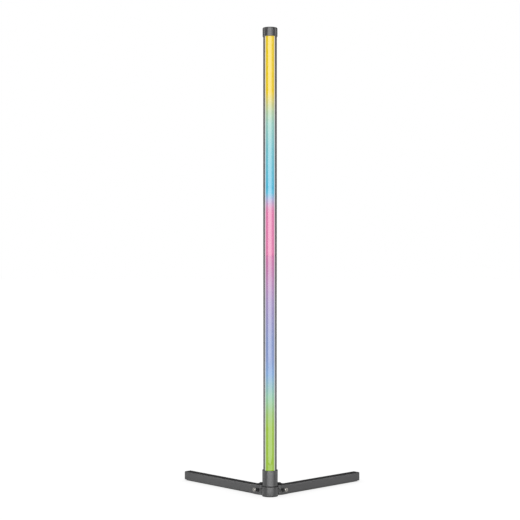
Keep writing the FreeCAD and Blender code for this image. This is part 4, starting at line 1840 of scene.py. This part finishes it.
@dataclass
class Leg(SubAssembly):
    """One leg with its knuckle, hinge and screws.

    Attributes:
        body: The body that it is.
        heading: The way that it runs from the pole, in degrees from +X.
        front: On which side of the leg its bright screw is, seen along the heading.
        hinge_reach: The hinge's distance from the pole's axis.
        screw_reach: The bright screw's distance along the leg.
        screw_level: The bright screw's height.
        half_knuckle: Half the knuckle's width, where the bright screw seats.
        bar_screw_reach: The distance of the screw beneath.
        pad_reach: The distance of the pad's middle.
        bolt: The hinge's bolt.
        nut: The hinge's nut.
        screw: The bright button-head screw.
        bar_screw: The screw beneath the tube.
        pad: The pad at the far end.
    """

    body: Body
    heading: float
    front: int
    hinge_reach: float = 28.1 * MM
    screw_reach: float = 40.1 * MM
    screw_level: float = 9.7 * MM
    half_knuckle: float = 10.3 * MM
    bar_screw_reach: float = 57 * MM
    pad_reach: float = 262 * MM
    bolt: Screw = Screw(2.5 * MM, 6 * MM, 14 * MM, 0.8 * MM, 4.25 * MM, 5 * MM, 0.5 * MM,
                        Drive.HEXAGON, 4 * MM, 2.5 * MM, knurled=True)
    nut: HexNut = HexNut(8 * MM, 4 * MM, 2.5 * MM)
    screw: Screw = Screw(2.5 * MM, 0.8 * MM, 9.2 * MM, 0.8 * MM, 4.8 * MM, 2.1 * MM, 1.8 * MM,
                         Drive.HEXAGON, 3 * MM, 1.9 * MM)
    bar_screw: Screw = Screw(1.5 * MM, 0, 6.8 * MM, 0.5 * MM, 2.7 * MM, 1.2 * MM, 0.35 * MM,
                             Drive.HEXAGON, 2 * MM, 0.8 * MM)
    pad: LegPad = LegPad()

    def part(self, name: str) -> str:
        """The name of one of this leg's pieces."""
        return f"{self.body.value.removesuffix('_leg')}_{name}"

    def finishes(self) -> dict[str, Finish]:
        """Knuckle, tube, end cap, washers and the bar inside.

        Returns:
            The finish of each node, by the node's name.
        """
        return {
            self.part(name): finish for name, finish in (
                ("knuckle", TUBE_PAINT), ("leg_tube", TUBE_PAINT), ("leg_end_cap", CAP_PLASTIC),
                ("hinge_washers", NYLON), ("leg_bar", RAW_ALUMINIUM),
            )
        }

    def model(self, tray: Tray) -> None:
        """The hinge's bolt and nut, the two screws and the pad.

        Args:
            tray: The tray of patterns.
        """
        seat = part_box(self.part("hinge_bolt"))[1][2] - self.bolt.height
        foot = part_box(self.part("hinge_nut"))[0][2]
        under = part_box(self.part("bar_screw"))[0][2] + self.bar_screw.height
        side = self.front * self.half_knuckle
        for pattern, name, finish, node, moves in (
            (self.bolt, "hinge_cap_screw", BLACK_OXIDE, "hinge_bolt",
             [shift(self.hinge_reach, 0, seat)]),
            (self.nut, "hinge_hex_nut", ZINC, "hinge_nut", [shift(self.hinge_reach, 0, foot)]),
            (self.screw, "leg_button_screw", NICKEL, "leg_screw",
             [shift(self.screw_reach, side, self.screw_level), turn(-90 * self.front, "X")]),
            (self.bar_screw, "bar_cap_screw", BLACK_OXIDE, "bar_screw",
             [shift(self.bar_screw_reach, 0, under), turn(180, "X")]),
            (self.pad, "leg_pad", RUBBER, "leg_foot_pad", [shift(self.pad_reach)]),
        ):
            piece = tray.take(pattern, self.part(name))
            piece.place(turn(self.heading), *moves).done(finish, self.body, self.part(node))


# ---------------------------------------------------------------- studio


@dataclass(frozen=True)
class Lamp:
    """A soft rectangular light.

    Attributes:
        name: Its name.
        place: Its middle.
        aim: The point that it faces.
        size: Its width and height.
        radiance: The brightness of its face, where 1 is white.
        gloss_only: Whether it shows only as a reflection.
    """

    name: str
    place: tuple[float, float, float]
    aim: tuple[float, float, float]
    size: tuple[float, float]
    radiance: float
    gloss_only: bool = True

    def hang(self) -> None:
        """Hang the light in the scene, out of the camera's sight."""
        lamp = bpy.data.lights.new(self.name, "AREA")
        lamp.shape = "RECTANGLE"
        lamp.size, lamp.size_y = self.size
        lamp.energy = self.radiance * math.pi * lamp.size * lamp.size_y
        light = bpy.data.objects.new(self.name, lamp)
        light.location = self.place
        sight = Vector(self.aim) - Vector(self.place)
        light.rotation_euler = sight.to_track_quat("-Z", "Y").to_euler()
        light.visible_camera = False
        light.visible_diffuse = not self.gloss_only
        bpy.context.scene.collection.objects.link(light)


@dataclass
class Studio:
    """A pale room with soft light and the camera at the photograph's place.

    Attributes:
        camera_place: Where the lens is.
        camera_turn: How far the camera looks to the left of +Y, in degrees.
        lens: The focal length on a 36 mm sensor.
        floor_size: The side of the square floor.
        lamps: The wide front light, and the long reflections in the glossy pieces.
    """

    camera_place: Vector = Vector((0.0631, -2.778, 0.5232))
    camera_turn: float = 1.760
    lens: float = 86.72
    floor_size: float = 60.0
    lamps: tuple[Lamp, ...] = (
        Lamp("front_light", (-0.6, -3.2, 1.1), (0, 0, 0.55), (3.6, 2.2), 1.85, gloss_only=False),
        Lamp("front_gleam", (0.06, -0.42, 0.60), (0.06, 0, 0.60), (0.70, 1.19), 3.0),
        Lamp("foot_gleam", (0.008, -0.05, 0.0325), (0.008, 0, 0.0325), (0.085, 0.063), 1.8),
        Lamp("left_gleam", (-0.42, 0.06, 0.60), (0, 0, 0.60), (0.26, 1.19), 2.3),
        Lamp("right_gleam", (0.42, 0.06, 0.60), (0, 0, 0.60), (0.26, 1.19), 2.3),
    )

    def build(self) -> None:
        """Set up the camera, the surround, the floor and the lights."""
        self.shoot()
        self.open_sky()
        self.lay_floor()
        self.light_up()

    def shoot(self) -> None:
        """Set the camera."""
        lens = bpy.data.cameras.new("camera")
        lens.lens = self.lens
        lens.clip_end = 200
        camera = bpy.data.objects.new("camera", lens)
        camera.location = self.camera_place
        camera.rotation_euler = (math.pi / 2, 0, math.radians(self.camera_turn))
        bpy.context.scene.collection.objects.link(camera)
        bpy.context.scene.camera = camera
        bpy.context.scene.view_settings.view_transform = "Standard"

    @staticmethod
    def on_path(recipe: Recipe, *kinds: str) -> Signal:
        """1 for rays of the named kinds.

        Args:
            recipe: The tree to add it to.
            kinds: Kinds of ray, such as Camera.

        Returns:
            1 on those rays, 0 on others.
        """
        path = [recipe.node("ShaderNodeLightPath", {}, {}, f"Is {kind} Ray") for kind in kinds]
        total = path[0]
        for more in path[1:]:
            total = total + more
        return total

    def open_sky(self) -> None:
        """A soft pale surround: white where it is seen, dimmer where it lights."""
        world = bpy.data.worlds.new("studio")
        bpy.context.scene.world = world
        recipe = Recipe(world)
        spot = {0: recipe.spot("Generated")}
        backward = recipe.node("ShaderNodeSeparateXYZ", {}, spot, "Y").ramp(-0.7, -0.1)
        above = recipe.node("ShaderNodeSeparateXYZ", {}, spot, "Z").ramp(0.1, 0.7)
        seen = self.on_path(recipe, "Camera", "Transmission")
        gloss = self.on_path(recipe, "Glossy")
        soft = 0.42 - 0.28 * above
        sheen = 0.34 - 0.31 * backward
        light = recipe.node("ShaderNodeBackground", {}, {
            "Color": (1, 1, 1, 1),
            "Strength": seen + gloss * sheen + (1 - seen - gloss) * soft,
        })
        recipe.node_output("ShaderNodeOutputWorld", light)
        world.cycles.sampling_method = "NONE"

    def lay_floor(self) -> None:
        """A pale floor that shows white, with the lamp's soft shadow and dark contacts painted into
        its glow.
        """
        clear_bench()
        bpy.ops.mesh.primitive_plane_add(size=self.floor_size)
        floor = bpy.context.object
        floor.name = "studio_floor"
        material = bpy.data.materials.new("studio_floor")
        recipe = Recipe(material)
        across, along = recipe.along("X"), recipe.along("Y")
        far = (across * across + along * along) ** 0.5
        # painted shadow: ambient occlusion dims the floor's glow under and around the lamp, and the
        # glow is a little lower near the middle
        lift = 0.96 + 0.04 * far.ramp(0.3, 1.2)
        touch = self.openness(recipe, 0.02).ramp(0.03, 0.45)
        near = 1 - 0.32 * (1 - self.openness(recipe, 0.12))
        seen = self.on_path(recipe, "Camera", "Glossy", "Transmission")
        recipe.skin(
            Base_Color=linear("9a9a9a"), Roughness=0.9, Specular_IOR_Level=0.0,
            Emission_Color=recipe.tint(seen * lift * touch * near, BLACK, WHITE),
            Emission_Strength=0.98,
        )
        floor.data.materials.append(material)

    @staticmethod
    def openness(recipe: Recipe, reach: float) -> Signal:
        """How open the room is above a spot, up to a reach: 0 is closed and 1 is open."""
        return recipe.node("ShaderNodeAmbientOcclusion", {"samples": 16}, {"Distance": reach}, "AO")

    def light_up(self) -> None:
        """Hang the lamps."""
        for lamp in self.lamps:
            lamp.hang()


def main() -> None:
    """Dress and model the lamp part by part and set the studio."""
    logging.basicConfig(level=logging.INFO, format="%(name)s: %(message)s")
    tray = Tray()
    for sub_assembly in (
        PoleSection("lower", LOWER_GLOW, LOWER_LIGHTS, LOWER_CHIPS),
        PoleSection("upper", UPPER_GLOW, UPPER_LIGHTS, UPPER_CHIPS),
        PoleJoint(),
        PoleEnds(),
        Hub(),
        Controller(),
        Leg(Body.LEFT_LEG, 135, 1),
        Leg(Body.RIGHT_LEG, 45, -1),
    ):
        sub_assembly.build(tray)
    tray.clear()
    Studio().build()


if __name__ == "__main__":
    main()
